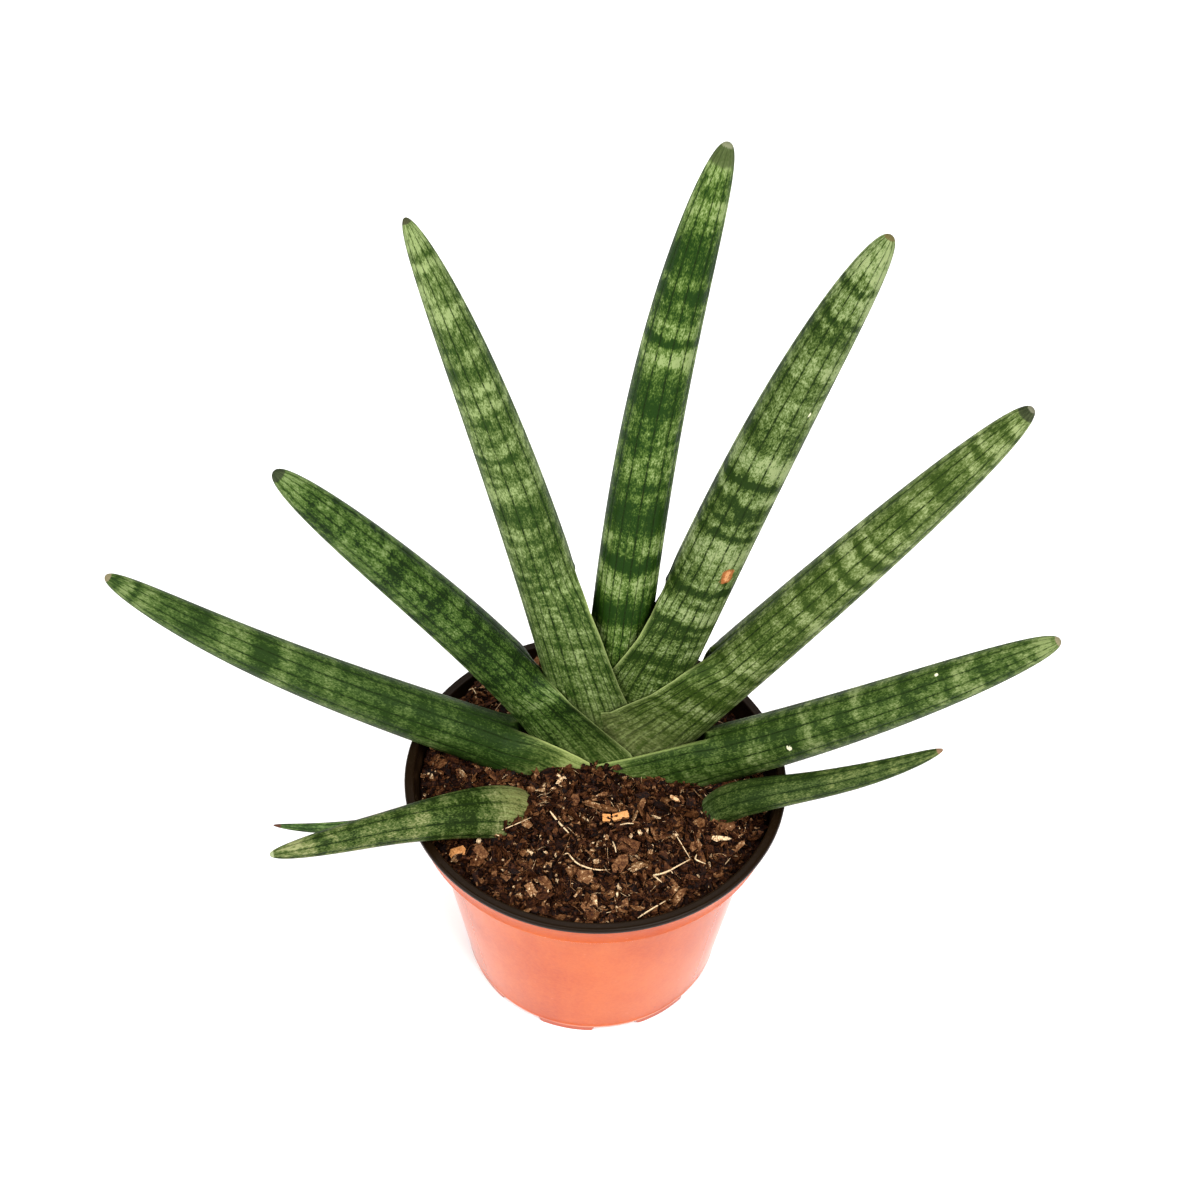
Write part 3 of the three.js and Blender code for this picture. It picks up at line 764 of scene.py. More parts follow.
FAN = (
    Leaf(
        "leaf_centre",
        ((2, 17, 56), (8, 19, 148), (9, 24, 211), (28.5, 30, 289)),
        diameter=19, fullness=2.9, base=14,
        rings=(
            (5.8, 2.4, 0.3), (9, 0.9, -0.15), (14.3, 1.1, -0.25), (17.5, 2.6, 0.25), (32, 6.5, -0.38),
            (38.5, 2, 0.15), (42, 1.8, -0.4), (47.5, 1.2, -0.12), (51, 2.6, 0.15), (56, 1.3, -0.45),
            (60, 2.7, 0.5), (70, 6.5, -0.2), (76, 1.5, -0.2), (87.5, 1.4, -0.35), (97, 4.5, 0.15),
            (103, 1.9, -0.3), (115, 6.5, -0.36), (125, 3.6, 0.14), (131, 2.4, -0.45), (137.5, 4, 0.36),
            (150, 4.8, -0.42), (158, 4, 0.22),
        ),
        tones=(0.62, 0.45, 0.42, 0.4, 0.36, 0.4, 0.42, 0.4),
        finish=LeafFinish(
            shades=((22, 46, 6), (46, 68, 18), (69, 90, 36), (93, 113, 57), (123, 138, 87)),
            sheath=(95, 119, 44), tip=(58, 68, 36), seed=1.3,
        ),
        marks=((0.0, 90, -0.9, 400),), pale=58.0, dry=6.3,
    ),
    Leaf(
        "leaf_right_high",
        ((3, 17, 58), (25, 18, 131), (41, 19, 202), (70, 20, 270)),
        diameter=20, fullness=3, base=16.6,
        rings=(
            (9, 4.5, 0.15), (16, 1.2, -0.45), (18.5, 1.4, 0.15), (25.5, 1.2, -0.35), (31, 2.5, -0.3),
            (35.5, 1, -0.2), (41, 1.5, 0.12), (47.5, 3, -0.2), (58.5, 0.9, -0.15), (64, 0.9, -0.2),
            (68.5, 3.4, -0.25), (74, 3.8, 0.3), (82.5, 1.3, -0.6), (86, 1.4, 0.3), (90, 2.4, -0.5),
            (96, 1, -0.3), (99, 1.3, 0.15), (102, 1.3, -0.5), (110, 6, 0.22), (124, 1.8, -0.6),
            (130, 1.4, -0.2), (134.5, 3.6, 0.2), (138, 1.2, -0.45), (143, 1.8, -0.2), (154, 2.2, -0.3),
            (160, 1.3, -0.15),
        ),
        tones=(0.85, 0.6, 0.56, 0.56, 0.54, 0.44, 0.36, 0.4),
        finish=LeafFinish(
            shades=((26, 44, 7), (54, 71, 25), (77, 93, 45), (99, 115, 69), (126, 138, 92)),
            sheath=(92, 100, 54), tip=(88, 76, 44), slant=0.16, seed=2.1,
        ),
        margin=(
            (50, 17.0, 0.4), (56, 16.6, 0.65), (61, 16.0, 0.85), (69, 14.5, 0.95), (76.5, 13.0, 0.95),
            (84, 11.4, 0.6),
        ),
        marks=((113.8, 66, 1.6, 11), (116.6, 64, 1.5, 11), (54, 61, -0.8, 3)),
        pale=60.0, dry=0.8,
    ),
    Leaf(
        "leaf_left_high",
        ((2, 17, 58), (-8, 19, 122), (-29, 22, 207), (-52, 26, 267.5)),
        diameter=19.6, fullness=2.4, base=19.2,
        rings=(
            (6, 3, 0.15), (10.4, 1.2, -0.35), (14, 1.6, 0.2), (16.4, 1, -0.3), (24.4, 1.1, -0.15),
            (27, 1.3, 0.15), (33, 2.5, -0.2), (37.4, 1.1, -0.25), (46, 3, -0.3), (52, 1.6, 0.2),
            (54.4, 1.1, -0.25), (57, 1.3, 0.15), (60.4, 1, -0.2), (64, 2.2, -0.12), (68.4, 0.9, -0.15),
            (71, 1.3, 0.15), (74, 1.3, -0.25), (79, 1.1, -0.15), (83.5, 1, -0.15), (86, 3.4, 0.15),
            (94.4, 3, -0.25), (98.4, 1, -0.15), (103.4, 1.1, -0.22), (109.4, 1.5, -0.22), (118, 1.1, -0.22),
            (123, 1.2, -0.22), (128, 0.9, -0.12), (132, 1, -0.1), (136.4, 1, -0.12), (144.4, 1.5, -0.2),
        ),
        tones=(0.75, 0.6, 0.56, 0.56, 0.54, 0.5, 0.42, 0.4),
        finish=LeafFinish(
            shades=((33, 54, 13), (57, 75, 29), (77, 94, 46), (99, 115, 67), (125, 140, 89)),
            sheath=(90, 100, 54), tip=(50, 46, 34), seed=3.7,
        ),
        margin=(
            (30, 15.5, 0.5), (40, 15.9, 0.85), (47, 15.8, 1.2), (54, 15.0, 1.3), (64.6, 13.9, 1.25),
            (75, 12.9, 1.1), (84.5, 11.7, 0.95),
        ),
        pale=56.0, dry=1.5, point=0.48,
    ),
    Leaf(
        "leaf_right_mid",
        ((4, 17, 60), (38, 17, 110), (79, 15, 169.5), (113, 12, 223)),
        diameter=19.5, fullness=2.4, base=21.8,
        rings=(
            (6.7, 1.4, 0.2), (9.7, 1.2, -0.3), (15, 2.2, 0.2), (18.2, 1.3, -0.35), (21.7, 1.5, 0.15),
            (24.7, 1.5, -0.15), (30, 0.8, -0.2), (33.7, 3, -0.2), (42, 1.3, 0.15), (47, 2.3, -0.2),
            (51, 0.9, -0.12), (59, 0.9, -0.25), (61.7, 1.5, 0.2), (65, 1.2, -0.35), (69, 2.3, 0.35),
            (73.7, 1.5, -0.4), (76.7, 1.2, 0.25), (80, 2.6, -0.3), (88, 1.4, -0.3), (93, 1.9, 0.25),
            (98.7, 1.5, -0.2), (106, 0.9, -0.12), (110, 2.6, -0.18), (121.7, 2.2, 0.2), (124.2, 1.4, -0.25),
            (131, 1.5, -0.22), (139, 2.6, -0.25), (144, 1.6, 0.2), (148, 1.3, -0.15),
        ),
        tones=(0.7, 0.56, 0.52, 0.52, 0.48, 0.46, 0.4, 0.4),
        finish=LeafFinish(
            shades=((40, 57, 14), (63, 79, 31), (80, 95, 47), (100, 113, 66), (127, 139, 91)),
            sheath=(92, 98, 57), tip=(34, 38, 24), slant=0.12, seed=4.4,
        ),
        margin=(
            (24, 26.5, 0.3), (30, 26.3, 0.65), (36, 24.4, 1.0), (42.4, 22.5, 1.05), (50, 19.4, 1.05),
            (59, 16.8, 0.9),
        ),
        rear=(0.5, 0.6), unfurl=(-5.0, 12.0), marks=((0.0, 90, -0.6, 400),), pale=52.0, dry=3.4,
    ),
    Leaf(
        "leaf_left_mid",
        ((0, 17, 60), (-19.5, 17, 108), (-60, 16, 153), (-91.5, 14, 192)),
        diameter=18, fullness=2.8, base=24.4,
        rings=(
            (5.8, 4.5, 0.18), (13.8, 1.5, -0.15), (20.3, 1.3, -0.12), (25.8, 1.3, -0.12), (28.3, 3.4, 0.1),
            (37.3, 1.3, -0.2), (39.5, 2, 0.2), (47.3, 2.3, -0.25), (55, 4, 0.08), (63.8, 1.7, -0.2),
            (69.3, 2.2, 0.12), (72.3, 1.4, -0.2), (78.8, 1.4, -0.15), (86.8, 4, -0.15), (98.8, 2, -0.15),
            (112.8, 2, 0.2), (119.8, 1.4, -0.12),
        ),
        tones=(0.6, 0.46, 0.42, 0.38, 0.36, 0.38, 0.34, 0.36),
        finish=LeafFinish(
            shades=((16, 32, 7), (40, 62, 18), (60, 81, 32), (78, 97, 48), (103, 120, 72)),
            sheath=(77, 93, 42), tip=(40, 44, 30), seed=5.2,
        ),
        margin=((18, 20.3, 1.0), (27, 18.5, 1.15), (35, 17.0, 1.28), (44, 14.8, 1.2)),
        rear=(0.5, 0.6), pale=42.0, dry=2.4,
    ),
    Leaf(
        "leaf_left_low",
        ((-1, 16, 61.5), (-50, 14, 91), (-95.5, 8, 112.5), (-141, 2, 161.5)),
        diameter=18.6, fullness=1.6, base=27.2,
        rings=(
            (3.4, 1, -0.3), (5.9, 1.4, 0.3), (9.4, 1.2, -0.3), (12.4, 1.8, 0.22), (18, 1.4, -0.15),
            (30, 4.5, -0.18), (43.4, 3.5, 0.22), (53.4, 4, -0.33), (60, 2.6, 0.22), (67, 2, -0.12),
            (76, 1.6, 0.15), (79.4, 1.5, -0.15), (96, 1.5, -0.12), (106.4, 1.1, -0.15), (124.4, 4.5, -0.22),
            (137, 6, -0.3), (157, 4, 0.45),
        ),
        tones=(0.5, 0.42, 0.4, 0.38, 0.36, 0.3, 0.32, 0.5),
        finish=LeafFinish(
            shades=((28, 47, 12), (50, 70, 26), (63, 82, 36), (78, 95, 48), (102, 117, 70)),
            sheath=(108, 122, 62), margin=(150, 160, 96), tip=(120, 110, 84), bars=1.2, flecks=1.6,
            bricks=0.5, patches=1.2, fine_lines=0.4, seed=6.6,
        ),
        margin=((11.6, 16.6, 0.8), (16, 16.9, 0.8), (20.4, 17, 0.8), (25.5, 16.4, 0.76)),
        rear=(0.1, 0.45), unfurl=(-10.0, 9.0), pale=38.0, dry=1.2,
    ),
    Leaf(
        "leaf_right_low",
        ((5, 16, 61.5), (49, 6, 87), (92, -2, 122), (130, -9, 157)),
        diameter=18.8, fullness=1.95, base=27.2,
        rings=(
            (4.5, 3, 0.34), (18, 1.3, -0.2), (23.6, 1.6, -0.2), (28, 3, 0.17), (35, 1.5, -0.2),
            (49, 2, -0.26), (52.6, 1.3, 0.17), (65, 2.2, 0.26), (70, 1.5, -0.26), (78, 1.2, -0.17),
            (82, 2.6, 0.17), (88.6, 1.8, -0.2), (94.6, 1.1, -0.2), (103, 3, 0.17), (121, 1.2, -0.17),
        ),
        tones=(0.62, 0.46, 0.42, 0.38, 0.34, 0.32, 0.3, 0.34),
        finish=LeafFinish(
            shades=((30, 48, 12), (54, 73, 26), (68, 85, 39), (84, 99, 53), (110, 123, 75)),
            sheath=(72, 87, 39), margin=(136, 150, 86), tip=(128, 118, 92), bars=2.4, flecks=1.3, bricks=0.8,
            patches=1.0, fine_lines=0.45, seed=7.9,
        ),
        margin=((5.6, 19.5, 0.75), (12.5, 18.3, 0.68), (19.4, 16.4, 0.58), (27, 15, 0.5), (34.5, 13, 0.35)),
        rear=(0.1, 0.45), unfurl=(-17.0, 12.0), marks=((90, 111, -0.7, 7), (37, 168, -0.7, 4)), pale=26.0,
        dry=1.0,
    ),
)

SMALL = {"outer_columns": 28, "inner_columns": 8, "spacing": 0.6}
OFFSETS = (
    Leaf(
        "offset_left_back",
        ((-18, -6, 66), (-35.9, -14.8, 88.8), (-60.1, -30, 84.7), (-94, -38, 100.4)),
        diameter=6.6, fullness=1.5, base=6.6,
        rings=((10, 1.5, -0.2), (16, 2, 0.1), (24, 2, -0.15), (34, 3, 0.1)),
        tones=(0.4, 0.42, 0.4, 0.34),
        finish=LeafFinish(
            shades=((34, 52, 24), (56, 78, 38), (74, 98, 50), (96, 118, 66), (126, 146, 92)),
            tip=(84, 48, 40), fine_lines=0.3, veins=8, seed=8.5,
        ),
        pale=12.0, dry=2.6, point=0.5, **SMALL,
    ),
    Leaf(
        "offset_left_front",
        ((-22, -11, 68), (-21, -9, 86.5), (-79, -44, 98.7), (-94, -47, 98)),
        diameter=12.6, fullness=1.8, base=19,
        rings=(
            (9, 3.5, 0.12), (15, 2.2, -0.2), (17.6, 1.4, 0.2), (23.4, 1.2, -0.12), (41.4, 1.5, -0.12),
            (50, 1.2, -0.12), (58.4, 4, -0.06), (70.4, 5, 0.12),
        ),
        tones=(0.6, 0.5, 0.42, 0.38, 0.5),
        finish=LeafFinish(
            shades=((24, 38, 6), (50, 68, 24), (72, 85, 42), (94, 102, 58), (126, 129, 86)),
            sheath=(126, 125, 76), tip=(150, 158, 120), fine_lines=0.25, patches=1.8, veins=8, seed=9.1,
        ),
        pale=24.0, dry=1.4, opening=60.0, point=0.45, **SMALL,
    ),
    Leaf(
        "offset_right",
        ((37, -8, 70), (39, -10.4, 91.3), (64.3, -19.6, 94.7), (101.4, -19, 120.2)),
        diameter=10.4, fullness=1.7, base=13,
        rings=(
            (6.6, 1.2, -0.2), (12, 1, 0.1), (18, 1.2, -0.12), (21, 1.6, 0.1), (26, 2, -0.1), (41, 2.4, -0.1),
            (57, 4, -0.12),
        ),
        tones=(0.5, 0.42, 0.36, 0.3, 0.3),
        finish=LeafFinish(
            shades=((27, 42, 11), (47, 63, 23), (64, 78, 37), (82, 93, 49), (110, 117, 68)),
            sheath=(92, 108, 66), tip=(132, 100, 78), fine_lines=0.25, patches=1.6, veins=8, seed=9.9,
        ),
        pale=14.0, dry=2.0, point=0.5, **SMALL,
    ),
)


# ----- Pot -----


@dataclass(frozen=True)
class TerracottaPlastic:
    """The pot's matt outer skin: even salmon orange with faint flow marks, scuffs and a few specks, painted
    shade on the feet and under the lip, and painted highlights on two edges.
    """

    colour: Colour = (175, 73, 14)
    pale: Colour = (185, 85, 22)
    # also the colour of the painted shade on the feet and on the band under the lip
    deep: Colour = (160, 58, 7)
    # pale scuffs, and the painted highlight along the foot bead and the ledge corner
    worn_and_highlight: Colour = (240, 176, 150)
    speck: Colour = (120, 48, 30)

    # Heights in metres over which painted shade comes in on the feet, under the bead, and on the band, under
    # the lip, and the two edges with a painted highlight.
    FOOT_SHADE = (0.0031, 0.0025)
    BAND_SHADE = (0.0722, 0.0735)
    HIGHLIGHT_EDGES = ((0.0029, 0.0033, 0.0041, 0.0036), (0.0711, 0.0717, 0.0726, 0.0721))

    def material(self) -> bpy.types.Material:
        """The material, on the place on the pot."""
        s = Shader("terracotta_plastic")
        place = s.place()
        x, y, z = s.split(place)
        broad = s.noise(place, 28.0, 3.0)
        fine = s.noise(place, 900.0, 3.0, 0.6)
        flow = s.noise(s.xyz(x, y, z * 0.12), 160.0, 3.0)
        tone = broad * 0.55 + flow * 0.15 + fine * 0.3
        colour = s.ramp(tone, [(0.36, self.deep), (0.5, self.colour), (0.64, self.pale)])
        # Painted shade: the feet, under the bead, and the band, under the lip, darken towards the deep colour.
        colour = s.mix(z.rise(*self.FOOT_SHADE) * 0.8, colour, self.deep)
        colour = s.mix(z.rise(*self.BAND_SHADE) * 0.35, colour, self.deep)
        # Painted highlight: a pale line along the foot bead and along the ledge corner, where the edges catch
        # the light.
        foot, ledge = (z.rise(*edge[:2]) * z.rise(*edge[2:]) for edge in self.HIGHLIGHT_EDGES)
        colour = s.mix((foot + ledge) * (broad.rise(0.3, 0.6) * 0.25 + 0.2), colour, self.worn_and_highlight)
        scuff = s.noise(s.xyz(x, y, z * 3.0), 420.0, 4.0, 0.7).rise(0.66, 0.74)
        colour = s.mix(scuff * 0.25, colour, self.worn_and_highlight)
        speck = s.cells(place, 62.0).rise(0.030, 0.018)
        colour = s.mix(speck * 0.7, colour, self.speck)
        s.bump(fine * 0.6 + flow * 0.4, 0.00006, 0.5)
        s.set(Base_Color=colour, Roughness=broad * 0.14 + 0.4, Specular_IOR_Level=0.0)
        s.set(Coat_Weight=broad * 0.3 + 0.8, Coat_Roughness=0.12, Coat_IOR=1.29)
        return s.material


@dataclass(frozen=True)
class BlackPlastic:
    """The pot's black inner skin and lip: satin, with soil dust inside and fine scratches on the rim."""

    colour: Colour = (22, 12, 4)
    dust: Colour = (54, 36, 22)
    scratch: Colour = (50, 38, 28)

    def material(self) -> bpy.types.Material:
        """The material, on the place on the pot."""
        s = Shader("black_plastic")
        place = s.place()
        _, _, z = s.split(place)
        smear = s.noise(place, 90.0, 4.0, 0.65)
        fine = s.noise(place, 1400.0, 2.0, 0.6)
        dusty = z.rise(0.0825, 0.074) * smear.rise(0.42, 0.62)
        colour = s.mix(dusty * 0.55, self.colour, self.dust)
        colour = s.mix(fine.rise(0.58, 0.72) * 0.3, colour, self.scratch)
        s.bump(fine, 0.00005, 0.5)
        s.set(Base_Color=colour, Roughness=smear * 0.2 + 0.28, Specular_IOR_Level=0.09)
        return s.material


@dataclass(frozen=True)
class Pot:
    """A pressed cup of two layers, terracotta outside and black inside, with a flat black lip."""

    height: float = 83.0
    rim_radius: float = 60.0
    base_radius: float = 42.0
    wall: float = 1.2
    neck_radius: float = 52.6  # outside of the wall under the stacking ledge
    ledge_z: float = 70.6
    ledge_height: float = 1.4
    band_radius: float = 57.0  # outside of the wall above the ledge
    band_flare: float = 1.2
    lip_thickness: float = 1.75
    lip_rounding: float = 0.75
    mouth_ease: float = 0.5
    floor_z: float = 3.0
    floor_thickness: float = 1.4
    foot_width: float = 3.5
    foot_height: float = 3.0
    notches: int = 8
    notch_angle: float = 20.0
    first_notch: float = -78.0
    drain_radius: float = 3.5
    drain_circle: float = 29.0
    segments: int = 288
    seam: float = 0.02  # clearance between the two layers

    @property
    def lip_z(self) -> float:
        """Height of the lip's underside."""
        return self.height - self.lip_thickness

    def wall_radius(self, z: float) -> float:
        """Outer radius of the wall under the stacking ledge, in proportion to the height."""
        return self.base_radius + (self.neck_radius - self.base_radius) * z / self.ledge_z

    @staticmethod
    def arc(
        centre: tuple[float, float], radius: float, start: float, end: float, count: int = 6
    ) -> list[list[float]]:
        """Points of an arc in the profile, between two angles in degrees."""
        angle = np.radians(np.linspace(start, end, count))
        return (np.array(centre) + radius * np.stack([np.cos(angle), np.sin(angle)], axis=1)).tolist()

    def within(self, inset: float, bend: float = 2.0) -> list[list[float]]:
        """The profile at a depth inside the wall, from under the lip down to the floor's drain circle."""
        ledge_top = self.ledge_z + self.ledge_height
        floor = self.floor_z + (self.floor_thickness if inset == self.wall else self.floor_thickness / 2)
        low = self.wall_radius(floor + bend) - inset
        return [
            [self.band_radius + self.band_flare - inset, self.lip_z],
            [self.band_radius - inset + 0.05, ledge_top + inset + 0.5],
            [self.band_radius - inset - 0.4, ledge_top + inset - 0.1],
            [self.neck_radius - inset + 0.4, self.ledge_z + inset + 0.1],
            [self.neck_radius - inset - 0.05, self.ledge_z + inset - 0.5],
            *self.arc((low - bend, floor + bend), bend, 0, -90),
            [12.0, floor],
        ]

    @property
    def bends(self) -> list[float]:
        """Heights of the bends of the inside of the wall behind the stacking ledge, from the top down."""
        return [height for _, height in self.within(self.wall)[1:5]]

    def inner_radius(self, z: Array) -> Array:
        """Radius of the inside of the wall at a height."""
        radius, height = np.array(self.within(self.wall)[:6]).T
        return np.interp(z, height[::-1], radius[::-1])

    def shell(self) -> Surface:
        """The terracotta layer: underside, notched feet, wall, stacking ledge and band."""
        between = self.wall / 2 + self.seam
        foot_in = self.base_radius - self.foot_width
        ledge_top = self.ledge_z + self.ledge_height
        top = [self.band_radius + self.band_flare, self.lip_z - self.seam]
        middle = self.within(between)
        middle[0][1] = top[1]
        profile = [
            [12.0, self.floor_z],
            [foot_in - 1.6, self.floor_z],
            [foot_in - 1.0, self.floor_z - 0.3],
            [foot_in - 0.2, 0.5],
            [foot_in + 0.3, 0.0],
            *self.arc((self.base_radius - 0.5, 0.5), 0.5, -90, 0, 4),
            [self.base_radius + 0.05, self.foot_height - 0.3],
            [self.base_radius + 0.15, self.foot_height - 0.05],
            [self.base_radius + 0.55, self.foot_height + 0.15],
            [self.base_radius + 0.68, self.foot_height + 0.45],
            [self.wall_radius(self.foot_height + 1.0) + 0.04, self.foot_height + 0.9],
            *([self.wall_radius(z), z] for z in np.linspace(6.0, self.ledge_z - 1.0, 12)),
            [self.neck_radius - 0.03, self.ledge_z - 0.3],
            [self.neck_radius + 0.3, self.ledge_z + 0.08],
            [self.band_radius - 0.45, ledge_top - 0.18],
            [self.band_radius - 0.08, ledge_top + 0.02],
            [self.band_radius + 0.12, ledge_top + 0.35],
            [self.band_radius + 0.05, ledge_top + 0.8],
            [self.band_radius + 0.5, (ledge_top + self.lip_z) / 2],
            top,
            *middle,
        ]
        surface = turned(np.array(profile), self.segments)
        points = surface.points
        angle = np.degrees(np.arctan2(points[:, 1], points[:, 0]))
        turn = (angle - self.first_notch + 180 / self.notches) % (360 / self.notches) - 180 / self.notches
        lift = 1 - smoothstep(np.abs(turn), self.notch_angle / 2 - 0.9, self.notch_angle / 2 + 0.9)
        notch = self.foot_height - 0.1
        foot = (np.hypot(points[:, 0], points[:, 1]) > foot_in - 1.8) & (points[:, 2] < notch)
        raised = lerp(points[:, 2], np.maximum(points[:, 2], notch), lift)
        points[:, 2] = np.where(foot, raised, points[:, 2])
        return surface

    def liner(self) -> Surface:
        """The black layer: floor, inner wall, rim and lip."""
        between = self.within(self.wall / 2)
        between[0][1] = self.lip_z
        low, top, r = self.lip_z, self.height, self.lip_rounding
        mouth = self.band_radius + self.band_flare - self.wall
        inside = self.within(self.wall)
        profile = [
            *between[::-1],
            [self.rim_radius - 0.5, low],
            [self.rim_radius - 0.12, low + 0.1],
            [self.rim_radius, low + 0.4],
            *self.arc((self.rim_radius - r, top - r), r, 10, 62, 5),
            [self.rim_radius - 0.55, top - 0.03],
            [self.rim_radius - 0.85, top - 0.14],
            [self.rim_radius - 1.3, top - 0.12],
            [mouth + self.mouth_ease + 0.35, top - 0.02],
            *self.arc((mouth + self.mouth_ease, top - self.mouth_ease), self.mouth_ease, 90, 180, 5),
            [mouth - 0.02, top - 1.6],
            *inside[1:],
        ]
        return turned(np.array(profile), self.segments)

    def drilled(self, piece: bpy.types.Object) -> None:
        """Cuts the drain holes through the floor of a finished layer."""
        angle = np.radians(self.first_notch + np.arange(self.notches) * 360 / self.notches)
        pin = turned(np.array([[self.drain_radius, -2.0], [self.drain_radius, 8.0]]), 28)
        turns = np.broadcast_to(np.eye(3), (self.notches, 3, 3))
        places = self.drain_circle * np.stack([np.cos(angle), np.sin(angle), 0 * angle], axis=1)
        pins = copies(pin.points, pin.faces, turns, places)
        tool = placed("drill", pins.mesh("drill"))
        cut = piece.modifiers.new("drains", "BOOLEAN")
        cut.operation, cut.object, cut.solver = "DIFFERENCE", tool, "EXACT"
        bpy.context.view_layer.update()
        old = piece.data
        done = piece.evaluated_get(bpy.context.evaluated_depsgraph_get())
        piece.data = bpy.data.meshes.new_from_object(done)
        piece.modifiers.clear()
        bpy.data.objects.remove(tool)
        bpy.data.meshes.remove(old)

    def build(self) -> None:
        """Makes both layers and dresses them."""
        outer, inner = TerracottaPlastic().material(), BlackPlastic().material()
        shell = show("pot_shell", self.shell(), outer, "pot")
        liner = show("pot_liner", self.liner(), inner)
        for piece in (shell, liner):
            self.drilled(piece)
            piece.data.set_sharp_from_angle(angle=math.radians(38))


# ----- Potting mix -----


@dataclass(frozen=True)
class MixFinish:
    """Dark, damp bark and coir, from near black to tan, with a few orange and pale bits."""

    name: str
    shades: tuple[tuple[float, Colour], ...] = (
        (0.0, (8, 1, 0)),
        (0.25, (38, 15, 4)),
        (0.5, (74, 42, 20)),
        (0.75, (112, 76, 46)),
        (0.9, (152, 118, 84)),
        (1.0, (218, 190, 150)),
    )
    wood: Colour = (204, 136, 74)  # fresh wood

    def material(self) -> bpy.types.Material:
        """The material: the piece's own tint at each point, broken up by grain."""
        s = Shader(self.name)
        place = s.place()
        grain = s.noise(place, 900.0, 4.0, 0.65)
        fibre = s.noise(place, 2600.0, 2.0, 0.6)
        tone = s.value("tint") + (grain - 0.5) * 1.2 + (fibre - 0.5) * 0.9
        colour = s.ramp(tone, self.shades)
        colour = s.mix(s.value("fresh") * (grain * 1.6 + fibre * 0.8 - 0.45), colour, self.wood)
        s.bump(grain * 0.6 + fibre * 0.4, 0.0005, 0.9)
        s.set(Base_Color=colour, Roughness=grain * 0.5 + 0.35, Specular_IOR_Level=0.08)
        return s.material


